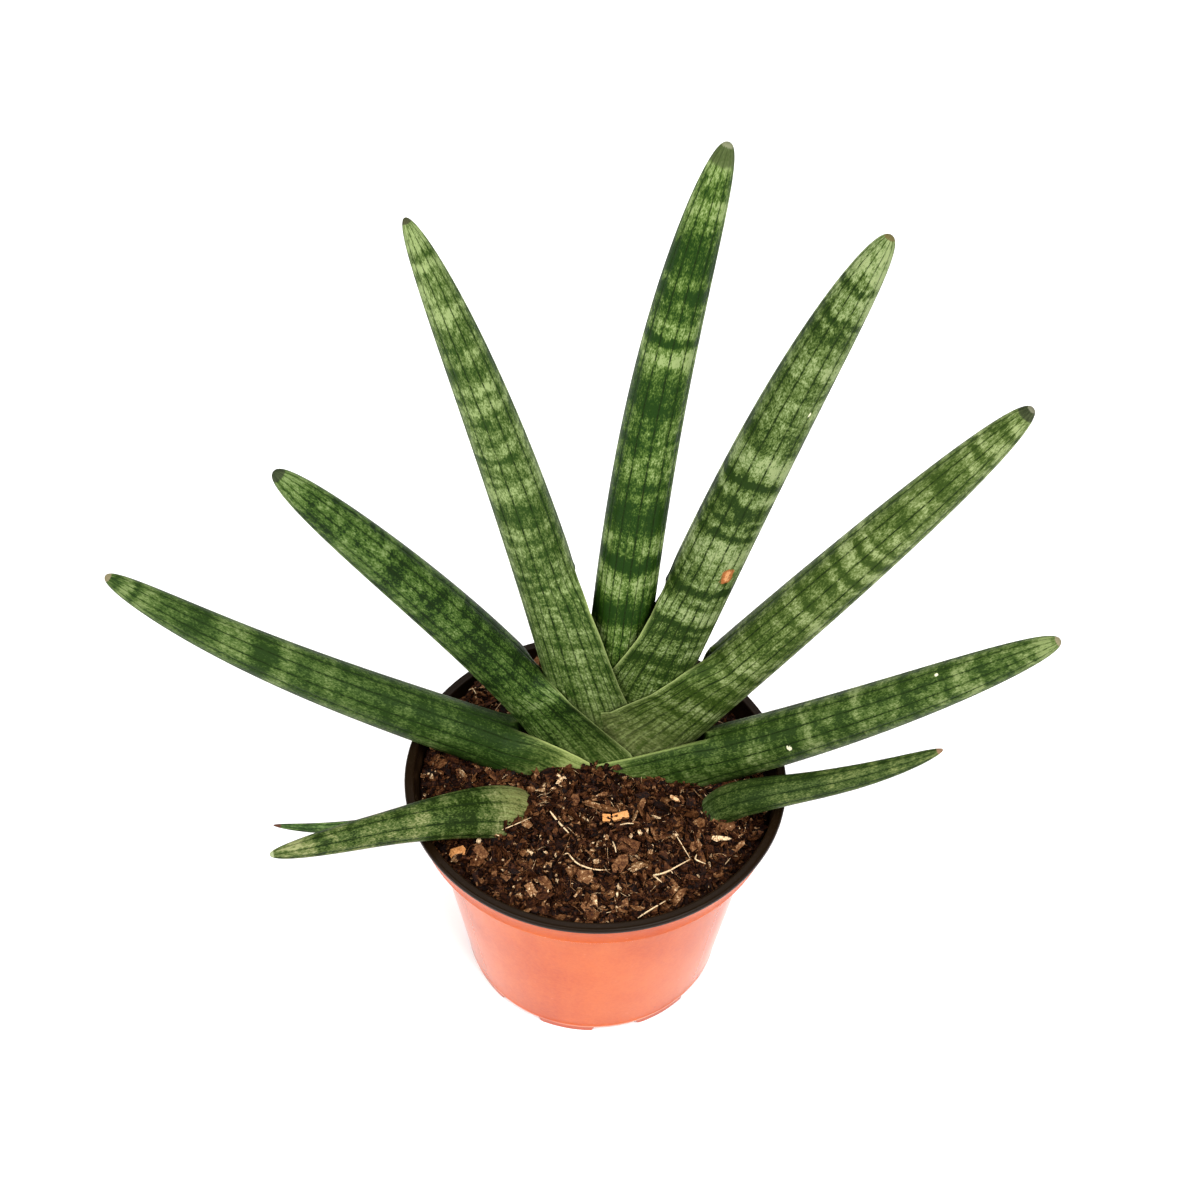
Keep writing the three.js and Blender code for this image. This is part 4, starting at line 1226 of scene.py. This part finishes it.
@dataclass
class PottingMix:
    """The mix in the pot: an uneven mound, strewn with crumbs, bark chips, fibres and fine roots."""

    pot: Pot
    seed: int = 11
    clearance: float = 0.35
    bottom: float = 4.8
    edge: float = 55.4
    brim: float = 74.1  # lowest height near the wall, above the pot's stacking ledge
    shoulder: float = 49.5  # radius from which on it is kept to
    side: tuple[float, float] = (74.0, 40.0)  # heights of the first and the last ring down its side
    drift: tuple[float, float, float] = (6.0, 142.0, 34.0)  # height, and bearing and reach in degrees
    drift_rise: tuple[float, float] = (26.0, 55.0)  # radii over which it comes in
    crown: tuple[float, ...] = (3.0, 17.0, 15.0, 12.5)  # middle and reach of the leaves' bases
    mound: tuple[tuple[float, float], ...] = ((0, 79.2), (24, 78.8), (40, 77.4), (50, 75.6), (56, 74.2))
    hollows: tuple[tuple[float, float, float, float, float], ...] = (
        (-30, 2, 15, 10, 3.4), (30, 1, 13, 8, 2.4), (-27, -20, 7, 5, -4.0),
    )
    crumbs: int = 8000
    chips: int = 3600
    slabs: int = 420
    fibres: int = 220

    def height(self, x: Array, y: Array) -> Array:
        """Height of the mix: a mound by radius, a drift, hollows, and three sizes of unevenness.

        A hollow is given by its middle, its reach along X and along Y, and its depth.
        """
        radius = np.hypot(x, y)
        level = np.interp(radius, *np.array(self.mound).T)
        bearing = np.degrees(np.arctan2(y, x))
        height, middle, reach = self.drift
        drift = height * np.exp(-(((bearing - middle) / reach) ** 2)) * smoothstep(radius, *self.drift_rise)
        place = np.stack([x, y], axis=-1)
        for middle_x, middle_y, wide, deep, depth in self.hollows:
            level = level - depth * np.exp(-(((x - middle_x) / wide) ** 2) - ((y - middle_y) / deep) ** 2)
        rough = 0.55 * ripples(place, 13, self.seed) + 0.38 * ripples(place, 5, self.seed + 1)
        level = level + drift + rough + 0.22 * ripples(place, 2.2, self.seed + 2)
        return np.maximum(level, np.where(radius > self.shoulder, self.brim, 0.0))

    def body(self) -> Surface:
        """The mix itself: rings out from the middle of its top, down the wall and in along the floor."""
        rings, columns = 96, 320
        radius = np.linspace(0.4, self.edge, rings)
        angle = np.arange(columns) * (2 * math.pi / columns)
        x, y = radius[:, None] * np.cos(angle), radius[:, None] * np.sin(angle)
        z = self.height(x, y)
        top = np.stack([x, y, z], axis=-1)
        top[-1, :, 2] -= 0.3
        down = []
        for step, highest in enumerate((self.side[0], *self.pot.bends, self.side[1], self.bottom)):
            level = np.minimum(top[-1, :, 2] - 0.2 * (step + 1), highest)
            reach = self.pot.inner_radius(level) - self.clearance
            down.append(np.stack([reach * np.cos(angle), reach * np.sin(angle), level], axis=-1))
        grid = np.concatenate([top, np.stack(down)])
        poles = np.array([[0, 0, float(z[0].mean())], [0, 0, self.bottom]])
        points = np.concatenate([grid.reshape(-1, 3), poles])
        tint = 0.10 + 0.08 * ripples(points[:, :2], 6.0, self.seed + 4)
        return Surface(points, tube_faces(len(grid), columns), {"tint": tint})

    def scatter(self, rng: np.random.Generator, count: int, reach: float) -> Array:
        """Places strewn evenly over the mix, clear of the leaves' bases, on its surface."""
        radius = reach * np.sqrt(rng.uniform(0, 1, 2 * count))
        angle = rng.uniform(0, 2 * math.pi, 2 * count)
        x, y = radius * np.cos(angle), radius * np.sin(angle)
        place = np.stack([x, y, self.height(x, y)], axis=1)
        middle_x, middle_y, wide, deep = self.crown
        free = ((x - middle_x) / wide) ** 2 + ((y - middle_y) / deep) ** 2 > 1
        for leaf in (*FAN, *OFFSETS):
            curve = bezier(np.array(leaf.midrib), 60)[0]
            gap = np.linalg.norm(place[:, None] - curve[None], axis=2).min(1)
            free &= gap > leaf.diameter / 2 - 0.3
        return place[free][:count]

    @staticmethod
    def turns(spin: Array, way: Array, lean: Array) -> Array:
        """Turns about the vertical by spin, then tilts by lean about the level line at the bearing way."""
        count = len(spin)
        zero, one = np.zeros(count), np.ones(count)
        cos, sin = np.cos(spin), np.sin(spin)
        about = np.stack([cos, -sin, zero, sin, cos, zero, zero, zero, one], axis=1).reshape(-1, 3, 3)
        axis = np.stack([np.cos(way), np.sin(way), zero], axis=1)
        cross = np.zeros((count, 3, 3))
        cross[:, 0, 1], cross[:, 0, 2], cross[:, 1, 2] = -axis[:, 2], axis[:, 1], -axis[:, 0]
        cross = cross - np.transpose(cross, (0, 2, 1))
        sin, versine = np.sin(lean)[:, None, None], (1 - np.cos(lean))[:, None, None]
        return (np.eye(3) + sin * cross + versine * (cross @ cross)) @ about

    def tumbled(self, rng: np.random.Generator, count: int, tilt: float) -> Array:
        """Random turns, tilted by tilt degrees or so."""
        spin, way = rng.uniform(0, 2 * math.pi, (2, count))
        return self.turns(spin, way, np.radians(rng.normal(0, tilt, count)))

    def crumb_layer(self, rng: np.random.Generator) -> Surface:
        """Small crumbs: octahedra with each point pushed about, 0.6 to 2.6 mm long."""
        place = self.scatter(rng, self.crumbs, self.edge - 0.6)
        count = len(place)
        corner = np.repeat(np.eye(3), 2, axis=0) * np.tile([1, -1], 3)[:, None]
        side = [[0, 2, 4], [2, 1, 4], [1, 3, 4], [3, 0, 4], [2, 0, 5], [1, 2, 5], [3, 1, 5], [0, 3, 5]]
        size = rng.lognormal(-0.35, 0.42, count).clip(0.28, 1.9)
        wide, thick = size * rng.uniform(0.45, 0.9, count), size * rng.uniform(0.3, 0.7, count)
        scale = np.stack([size, wide, thick], axis=1)
        shape = corner * scale[:, None] + rng.normal(0, 0.22, (count, 6, 3)) * size[:, None, None]
        layer = copies(shape, [np.array(side)], self.tumbled(rng, count, 40), place + [0, 0, 0.25])
        tint = np.where(rng.uniform(0, 1, count) < 0.05, 0.9, rng.beta(1.2, 2.6, count))
        layer.values["tint"] = np.repeat(tint, 6)
        return layer

    SIDES = 6
    POINTS = 2 * SIDES + 2
    ROUND = np.array([[1, 0], [0.5, 0.866], [-0.5, 0.866], [-1, 0], [-0.5, -0.866], [0.5, -0.866]])
    BLOCK = np.array([[1, 0.05], [0.88, 0.9], [-0.84, 0.95], [-1, -0.1], [-0.9, -0.9], [0.82, -0.95]])
    SPEAR = np.array([[1, 0.1], [0.3, 0.9], [-0.55, 0.8], [-1, 0], [-0.5, -0.85], [0.35, -0.8]])

    def flakes(self, ring: Array, size: Array, ragged: Array, bow: Array, rough: Array) -> Array:
        """Points of thin flakes.

        Args:
            ring: their outline, one for all or one each.
            size: half length, half width and thickness of each.
            ragged: how far each side stands out.
            bow: how much each bends up along its length.
            rough: how far each point is pushed up.
        """
        ring = np.broadcast_to(ring, (len(size), self.SIDES, 2))
        extra = (0, 0), (0, 0), (0, 1)
        layers = [np.pad(ring * k, extra, constant_values=h) for k, h in ((0.93, -0.5), (1.0, 0.5))]
        poles = np.broadcast_to([[0, 0, -0.55], [0, 0, 0.62]], (len(size), 2, 3))
        stretch = np.concatenate([np.tile(ragged, (1, 2)), np.ones((len(size), 2))], axis=1)
        shape = np.concatenate([*layers, poles], axis=1) * size[:, None]
        shape[:, :, :2] *= stretch[..., None]
        shape[:, :, 2] += bow[:, None] * shape[:, :, 0] ** 2 + rough
        return shape

    def laid(self, shape: Array, turns: Array, place: Array, tint: Array, fresh: Array) -> Surface:
        """Flakes put in place, with a tint and the freshness of the wood at each of their points."""
        layer = copies(shape, tube_faces(2, self.SIDES), turns, place)
        layer.values |= {"tint": tint.ravel(), "fresh": fresh.ravel()}
        return layer

    def chip_layer(
        self, rng: np.random.Generator, count: int, sizes: tuple[float, float], lift: float
    ) -> Surface:
        """Bark chips: thin flakes with a ragged outline, bowed along their length, tilted every way."""
        place = self.scatter(rng, count, self.edge - 2.0)
        count = len(place)
        length = rng.uniform(*sizes, count) / 2
        width, thickness = length * rng.uniform(0.22, 0.75, count), rng.uniform(0.2, 0.65, count)
        ragged = rng.uniform(0.55, 1.3, (count, self.SIDES))
        bow, rough = rng.normal(0, 0.16, count) / length, rng.normal(0, 0.09, (count, self.POINTS))
        shape = self.flakes(self.ROUND, np.stack([length, width, thickness], axis=1), ragged, bow, rough)
        place[:, 2] += lift + rng.uniform(-0.5, 0.9, count)
        turns = self.tumbled(rng, count, 46)
        tint = rng.beta(1.1, 2.3, count)[:, None] * 0.88 + rng.normal(0, 0.09, (count, self.POINTS))
        return self.laid(shape, turns, place, tint, np.zeros_like(tint))

    # Single pieces: both ends, half width, thickness, lift, tilt (degrees), tint, freshness, how pointed.
    SINGLES = (
        ((2.3, -17.4), (5.1, -17.3), 1.3, 1.4, 2.0, -16, 0.9, 1.0, 0),
        ((5.2, -17.1), (10.6, -15.4), 1.2, 1.4, 2.2, -12, 0.93, 1.0, 0),
        ((-3.1, -10.6), (4.7, -13.9), 0.7, 1.2, 2.3, 4, 0.74, 0.0, 0),
        ((1.6, -12.7), (7.2, -14.9), 0.8, 1.2, 2.0, 8, 0.6, 0.0, 0.3),
        ((5.7, -36.8), (10.8, -30.1), 2.0, 0.4, 1.9, -26, 0.58, 0.0, 1),
        ((-5.4, -37.2), (0.4, -37.3), 1.5, 0.5, 1.5, -16, 0.62, 0.0, 0.4),
        ((7.1, -24.8), (13.7, -27.2), 2.6, 0.6, 1.3, -24, 0.44, 0.0, 0),
        ((13.6, -20.4), (14.5, -22.2), 0.6, 0.6, 1.8, 0, 0.96, 0.0, 0.5),
        ((17.5, -13.8), (20.9, -14.9), 0.4, 0.3, 1.9, 0, 1.0, 0.0, 0.6),
        ((0.7, -48.3), (0.3, -43.5), 1.1, 0.4, 1.6, -30, 0.78, 0.0, 0.5),
        ((29.5, -25.6), (33.0, -24.9), 1.9, 0.5, 1.5, -22, 0.6, 0.0, 0.3),
        ((13.6, -13.7), (15.4, -9.2), 1.0, 0.5, 1.6, -20, 0.62, 0.0, 0.4),
        ((-8.3, -13.0), (-5.3, -7.7), 1.7, 0.5, 1.6, -24, 0.52, 0.0, 0.2),
        ((-4.2, -15.7), (-1.4, -18.1), 0.45, 0.4, 1.9, 0, 0.86, 0.0, 0.8),
        ((-15.4, -28.9), (-13.8, -30.0), 0.4, 0.3, 1.8, 0, 0.92, 0.0, 0.8),
        ((-11.6, -28.8), (-11.4, -30.7), 0.4, 0.3, 1.8, 0, 0.92, 0.0, 0.8),
        ((7.0, -43.1), (7.7, -43.1), 0.6, 0.9, 1.9, 0, 1.06, 0.0, 0.2),
        ((23.3, -7.2), (26.4, -9.5), 0.75, 0.6, 1.8, -14, 0.95, 0.35, 0.6),
        ((36.3, -21.4), (38.5, -22.5), 0.8, 0.4, 1.7, -16, 0.9, 0.0, 0.4),
        ((-43.8, -29.0), (-39.3, -27.5), 1.6, 0.8, 1.6, -18, 0.84, 0.9, 0.1),
        ((-35.7, -28.1), (-32.6, -31.7), 1.6, 0.6, 1.5, -20, 0.62, 0.0, 0.3),
        ((-36.0, -25.3), (-34.5, -25.7), 0.9, 0.8, 1.8, 0, 1.0, 0.0, 0.3),
        ((36.9, -21.5), (42.1, -21.8), 0.8, 0.4, 1.7, -12, 0.95, 0.0, 0.5),
        ((36.9, -15.4), (43.9, -17.4), 1.8, 0.5, 1.4, -20, 0.6, 0.0, 0.3),
        ((40.5, -27.7), (46.8, -21.8), 0.8, 0.4, 1.5, -14, 0.72, 0.0, 0.5),
        ((-14.3, -46.8), (-13.2, -42.5), 0.5, 0.4, 1.7, -10, 0.97, 0.1, 0.6),
        ((-19.9, -40.3), (-16.5, -45.1), 1.4, 0.4, 1.5, -26, 0.76, 0.0, 0.4),
        ((-3.1, -46.6), (1.3, -50.8), 1.5, 0.5, 1.5, -22, 0.62, 0.0, 0.3),
        ((-5.8, -36.7), (0.3, -39.8), 1.6, 0.5, 1.4, -18, 0.66, 0.0, 0.3),
        ((-10.5, -4.1), (-11.9, 0.0), 0.9, 0.3, 2.3, -30, 0.93, 0.0, 0.6),
        ((-12.4, -3.4), (-9.7, -0.9), 0.5, 0.3, 2.5, -20, 0.97, 0.0, 0.8),
    )

    def single_layer(self, rng: np.random.Generator) -> Surface:
        """The singled-out chips and bits that lie on top."""
        row = np.array([(*a, *b, *rest) for a, b, *rest in self.SINGLES])
        middle, run = (row[:, :2] + row[:, 2:4]) / 2, row[:, 2:4] - row[:, :2]
        width, thickness, lift, tilt, tint, fresh, pointed = row[:, 4:].T
        count = len(row)
        size = np.stack([np.linalg.norm(run, axis=1) / 2, width, thickness], axis=1)
        ragged = rng.uniform(0.85, 1.15, (count, self.SIDES))
        ring = lerp(self.BLOCK, self.SPEAR, pointed[:, None, None])
        bow, rough = rng.normal(0, 0.01, count), rng.normal(0, 0.06, (count, self.POINTS))
        shape = self.flakes(ring, size, ragged, bow, rough)
        place = np.column_stack([middle, self.height(*middle.T) + lift])
        turns = self.turns(np.arctan2(run[:, 1], run[:, 0]), np.zeros(count), np.radians(-tilt))
        tint = np.repeat(tint, self.POINTS) + rng.normal(0, 0.03, count * self.POINTS)
        return self.laid(shape, turns, place, tint, np.repeat(fresh, self.POINTS))

    def thread(self, path: Array, radius: float, tint: float, sides: int) -> Surface:
        """A thin root or fibre along a path of points: circles square to the path, thinner at its ends."""
        count = max(8, len(path) * 5)
        at = np.linspace(0, 1, count)
        curve = sample(at, np.linspace(0, 1, len(path)), path)
        for _ in range(7):
            curve[1:-1] = (curve[:-2] + 2 * curve[1:-1] + curve[2:]) / 4
        _, across, other = along_curve(curve + [0, 1e-6, 0])
        angle = np.arange(sides) * (2 * math.pi / sides)
        thin = radius * (1 - 0.6 * np.abs(2 * at - 1) ** 3)
        cos, sin = np.cos(angle)[None, :, None], np.sin(angle)[None, :, None]
        grid = curve[:, None] + (cos * across[:, None] + sin * other[:, None]) * thin[:, None, None]
        points = np.concatenate([grid.reshape(-1, 3), curve[[0, -1]]])
        return Surface(points, tube_faces(count, sides), {"tint": np.full(len(points), tint)})

    def on_top(self, line: Sequence[tuple[float, float]], lift: float) -> Array:
        """A line on the mix as points in space, lift above it."""
        flat = np.array(line, float)
        return np.column_stack([flat, self.height(*flat.T) + lift])

    def fibre_layer(self, rng: np.random.Generator) -> Surface:
        """Coir fibres: short bent threads lying on the mix."""
        start = self.scatter(rng, self.fibres, self.edge - 5)
        count = len(start)
        ways, runs = rng.uniform(0, 2 * math.pi, count), rng.uniform(2.5, 8.5, count)
        share = np.linspace(-0.5, 0.5, 4)
        parts = []
        for place, way, run, bow in zip(start, ways, runs, rng.normal(0, 0.16, count)):
            ahead, aside = run * share, run * bow * share**2 * 4
            x = place[0] + ahead * math.cos(way) - aside * math.sin(way)
            y = place[1] + ahead * math.sin(way) + aside * math.cos(way)
            if (np.hypot(x, y) < self.edge - 1).all():
                z = self.height(x, y) + 0.7 + rng.uniform(0.0, 1.3, 4)
                radius, tint = rng.uniform(0.07, 0.16), rng.uniform(0.45, 0.98)
                parts.append(self.thread(np.stack([x, y, z], axis=1), radius, tint, 3))
        return joined(parts)

    # Fine roots: the thickness across, halved, and the points that the root runs through.
    ROOTS = (
        (
            0.26, (-9.1, -30.3), (-7.8, -29.4), (-5.9, -33.0), (-4.0, -33.9), (-0.9, -35.3), (2.1, -36.1),
            (4.9, -35.6),
        ),
        (
            0.3, (20.8, -39.4), (19.0, -38.1), (17.9, -37.3), (19.7, -37.8), (22.6, -35.6), (24.5, -34.0),
            (29.4, -30.4),
        ),
        (0.16, (24.8, -22.3), (26.4, -24.6), (27.9, -26.5), (29.4, -29.7)),
        (0.26, (31.7, -27.1), (30.7, -30.3), (32.1, -31.3), (34.1, -31.6)),
        (0.34, (-13.8, -15.6), (-11.5, -18.1), (-7.8, -23.6)),
        (0.28, (-34.1, -21.5), (-28.9, -25.3)),
        (0.26, (13.6, -51.4), (17.2, -48.8), (21.9, -45.0)),
        (0.2, (-42.4, 33.4), (-40.9, 33.2), (-39.8, 31.2)),
        (0.22, (7.9, -20.6), (10.1, -18.5), (12.1, -19.0)),
        (0.2, (5.7, -25.5), (6.5, -27.7), (6.8, -29.7)),
        (0.16, (-29.0, -23.5), (-24.7, -22.5), (-19.5, -17.8)),
        (0.14, (23.2, -35.3), (24.1, -36.2)),
    )

    def root_layer(self) -> Surface:
        """The fine pale roots that lie on the mix."""
        lift, tint = 2.5, 1.04
        return joined([self.thread(self.on_top(line, lift), radius, tint, 6) for radius, *line in self.ROOTS])

    def build(self) -> None:
        """Makes the mix and everything on it, and dresses them."""
        rng = np.random.default_rng(self.seed)
        show("mix_bed", self.body(), MixFinish("mix_bed").material(), "potting_mix")
        crumbs = self.crumb_layer(rng)
        chips = joined([
            self.chip_layer(rng, self.chips, (1.1, 3.8), 0.7),
            self.chip_layer(rng, self.slabs, (3.8, 7.0), 1.1),
            self.single_layer(rng),
        ])
        crumbs.smooth = chips.smooth = False
        show("mix_crumbs", crumbs, MixFinish("mix_crumbs").material())
        show("bark_chips", chips, MixFinish("bark_chips").material())
        threads = joined([self.fibre_layer(rng), self.root_layer()])
        show("fibres_and_roots", threads, MixFinish("fibres").material())


# ----- Rhizome -----


def dress_rhizome() -> None:
    """Gives the buried rhizome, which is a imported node, its pale corky skin."""
    s = Shader("rhizome_skin")
    place = s.place()
    scales = s.noise(place, 220.0, 4.0, 0.6)
    rings = s.cells(place, 140.0)
    stops = (0.2, (150, 116, 72)), (0.55, (206, 178, 126)), (0.9, (232, 214, 168))
    colour = s.ramp(scales * 0.7 + rings * 0.4, stops)
    s.bump(scales + rings, 0.0006, 0.7)
    s.set(Base_Color=colour, Roughness=scales * 0.2 + 0.62)
    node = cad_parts["rhizome"]
    node.data.materials.clear()
    node.data.materials.append(s.material)
    LOG.info("rhizome: dressed")


# ----- Studio -----


@dataclass(frozen=True)
class Studio:
    """A pale floor under plain soft light, and the camera."""

    camera_place: tuple[float, float, float] = (4.9, -363.4, 520.5)
    pitch: float = 44.84  # degrees below the horizon
    roll: float = 1.53
    lens: float = 54.0
    sensor: float = 36.0
    sky: float = 0.54
    lamps: tuple[tuple[str, tuple[float, float, float], float, float], ...] = (
        ("key", (0.75, -0.85, 1.45), 1.1, 35.0),
        ("fill", (-0.9, -0.7, 1.2), 1.2, 24.0),
        ("top", (0.1, 0.5, 1.8), 1.4, 12.0),
    )

    def add_camera(self) -> None:
        """The camera looks along +Y and down by the pitch, turned by the roll about its own axis."""
        data = bpy.data.cameras.new("camera")
        data.lens, data.sensor_width = self.lens, self.sensor
        data.clip_start, data.clip_end = 0.01, 50.0
        camera = placed("camera", data)
        lift = Matrix.Rotation(math.radians(90 - self.pitch), 4, "X")
        turn = Matrix.Rotation(math.radians(self.roll), 4, "Z")
        camera.matrix_world = Matrix.Translation(Vector(self.camera_place) * MM) @ lift @ turn
        bpy.context.scene.camera = camera

    def add_floor(self) -> None:
        """A wide plain floor that the feet stand on."""
        side = 6.0
        mesh = bpy.data.meshes.new("floor")
        corners = [(-side, -side, 0), (side, -side, 0), (side, side, 0), (-side, side, 0)]
        mesh.from_pydata(corners, [], [(0, 1, 2, 3)])
        floor = placed("floor", mesh)
        s = Shader("floor")
        s.set(Base_Color=(0.97, 0.97, 0.97, 1.0), Roughness=0.9, Specular_IOR_Level=0.1)
        mesh.materials.append(s.material)

    def add_lights(self) -> None:
        """A white sky and three large soft lamps that face the plant."""
        world = bpy.data.worlds.new("sky")
        world.use_nodes = True
        sky = world.node_tree.nodes["Background"]
        sky.inputs["Color"].default_value = (1.0, 1.0, 1.0, 1.0)
        sky.inputs["Strength"].default_value = self.sky
        bpy.context.scene.world = world
        for name, place, size, watts in self.lamps:
            data = bpy.data.lights.new(name, "AREA")
            data.shape, data.size, data.energy = "DISK", size, watts
            lamp = placed(name, data)
            aim = Vector((0.0, 0.0, 0.12)) - Vector(place)
            lamp.matrix_world = Matrix.Translation(place) @ aim.to_track_quat("-Z", "Y").to_matrix().to_4x4()

    def build(self) -> None:
        """Sets up the floor, the lights, the camera and the plain view transform."""
        self.add_floor()
        self.add_lights()
        self.add_camera()
        bpy.context.scene.view_settings.view_transform = "Standard"


def write_sizes() -> None:
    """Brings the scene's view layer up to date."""
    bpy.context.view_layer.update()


def main() -> None:
    """Builds the plant from the pot up, then the studio."""
    logging.basicConfig(level=logging.INFO, format="%(name)s %(message)s", stream=sys.stdout)
    Studio().build()
    pot = Pot()
    pot.build()
    PottingMix(pot).build()
    dress_rhizome()
    for leaf in (*FAN, *OFFSETS):
        leaf.build()
    write_sizes()


if __name__ == "__main__":
    main()
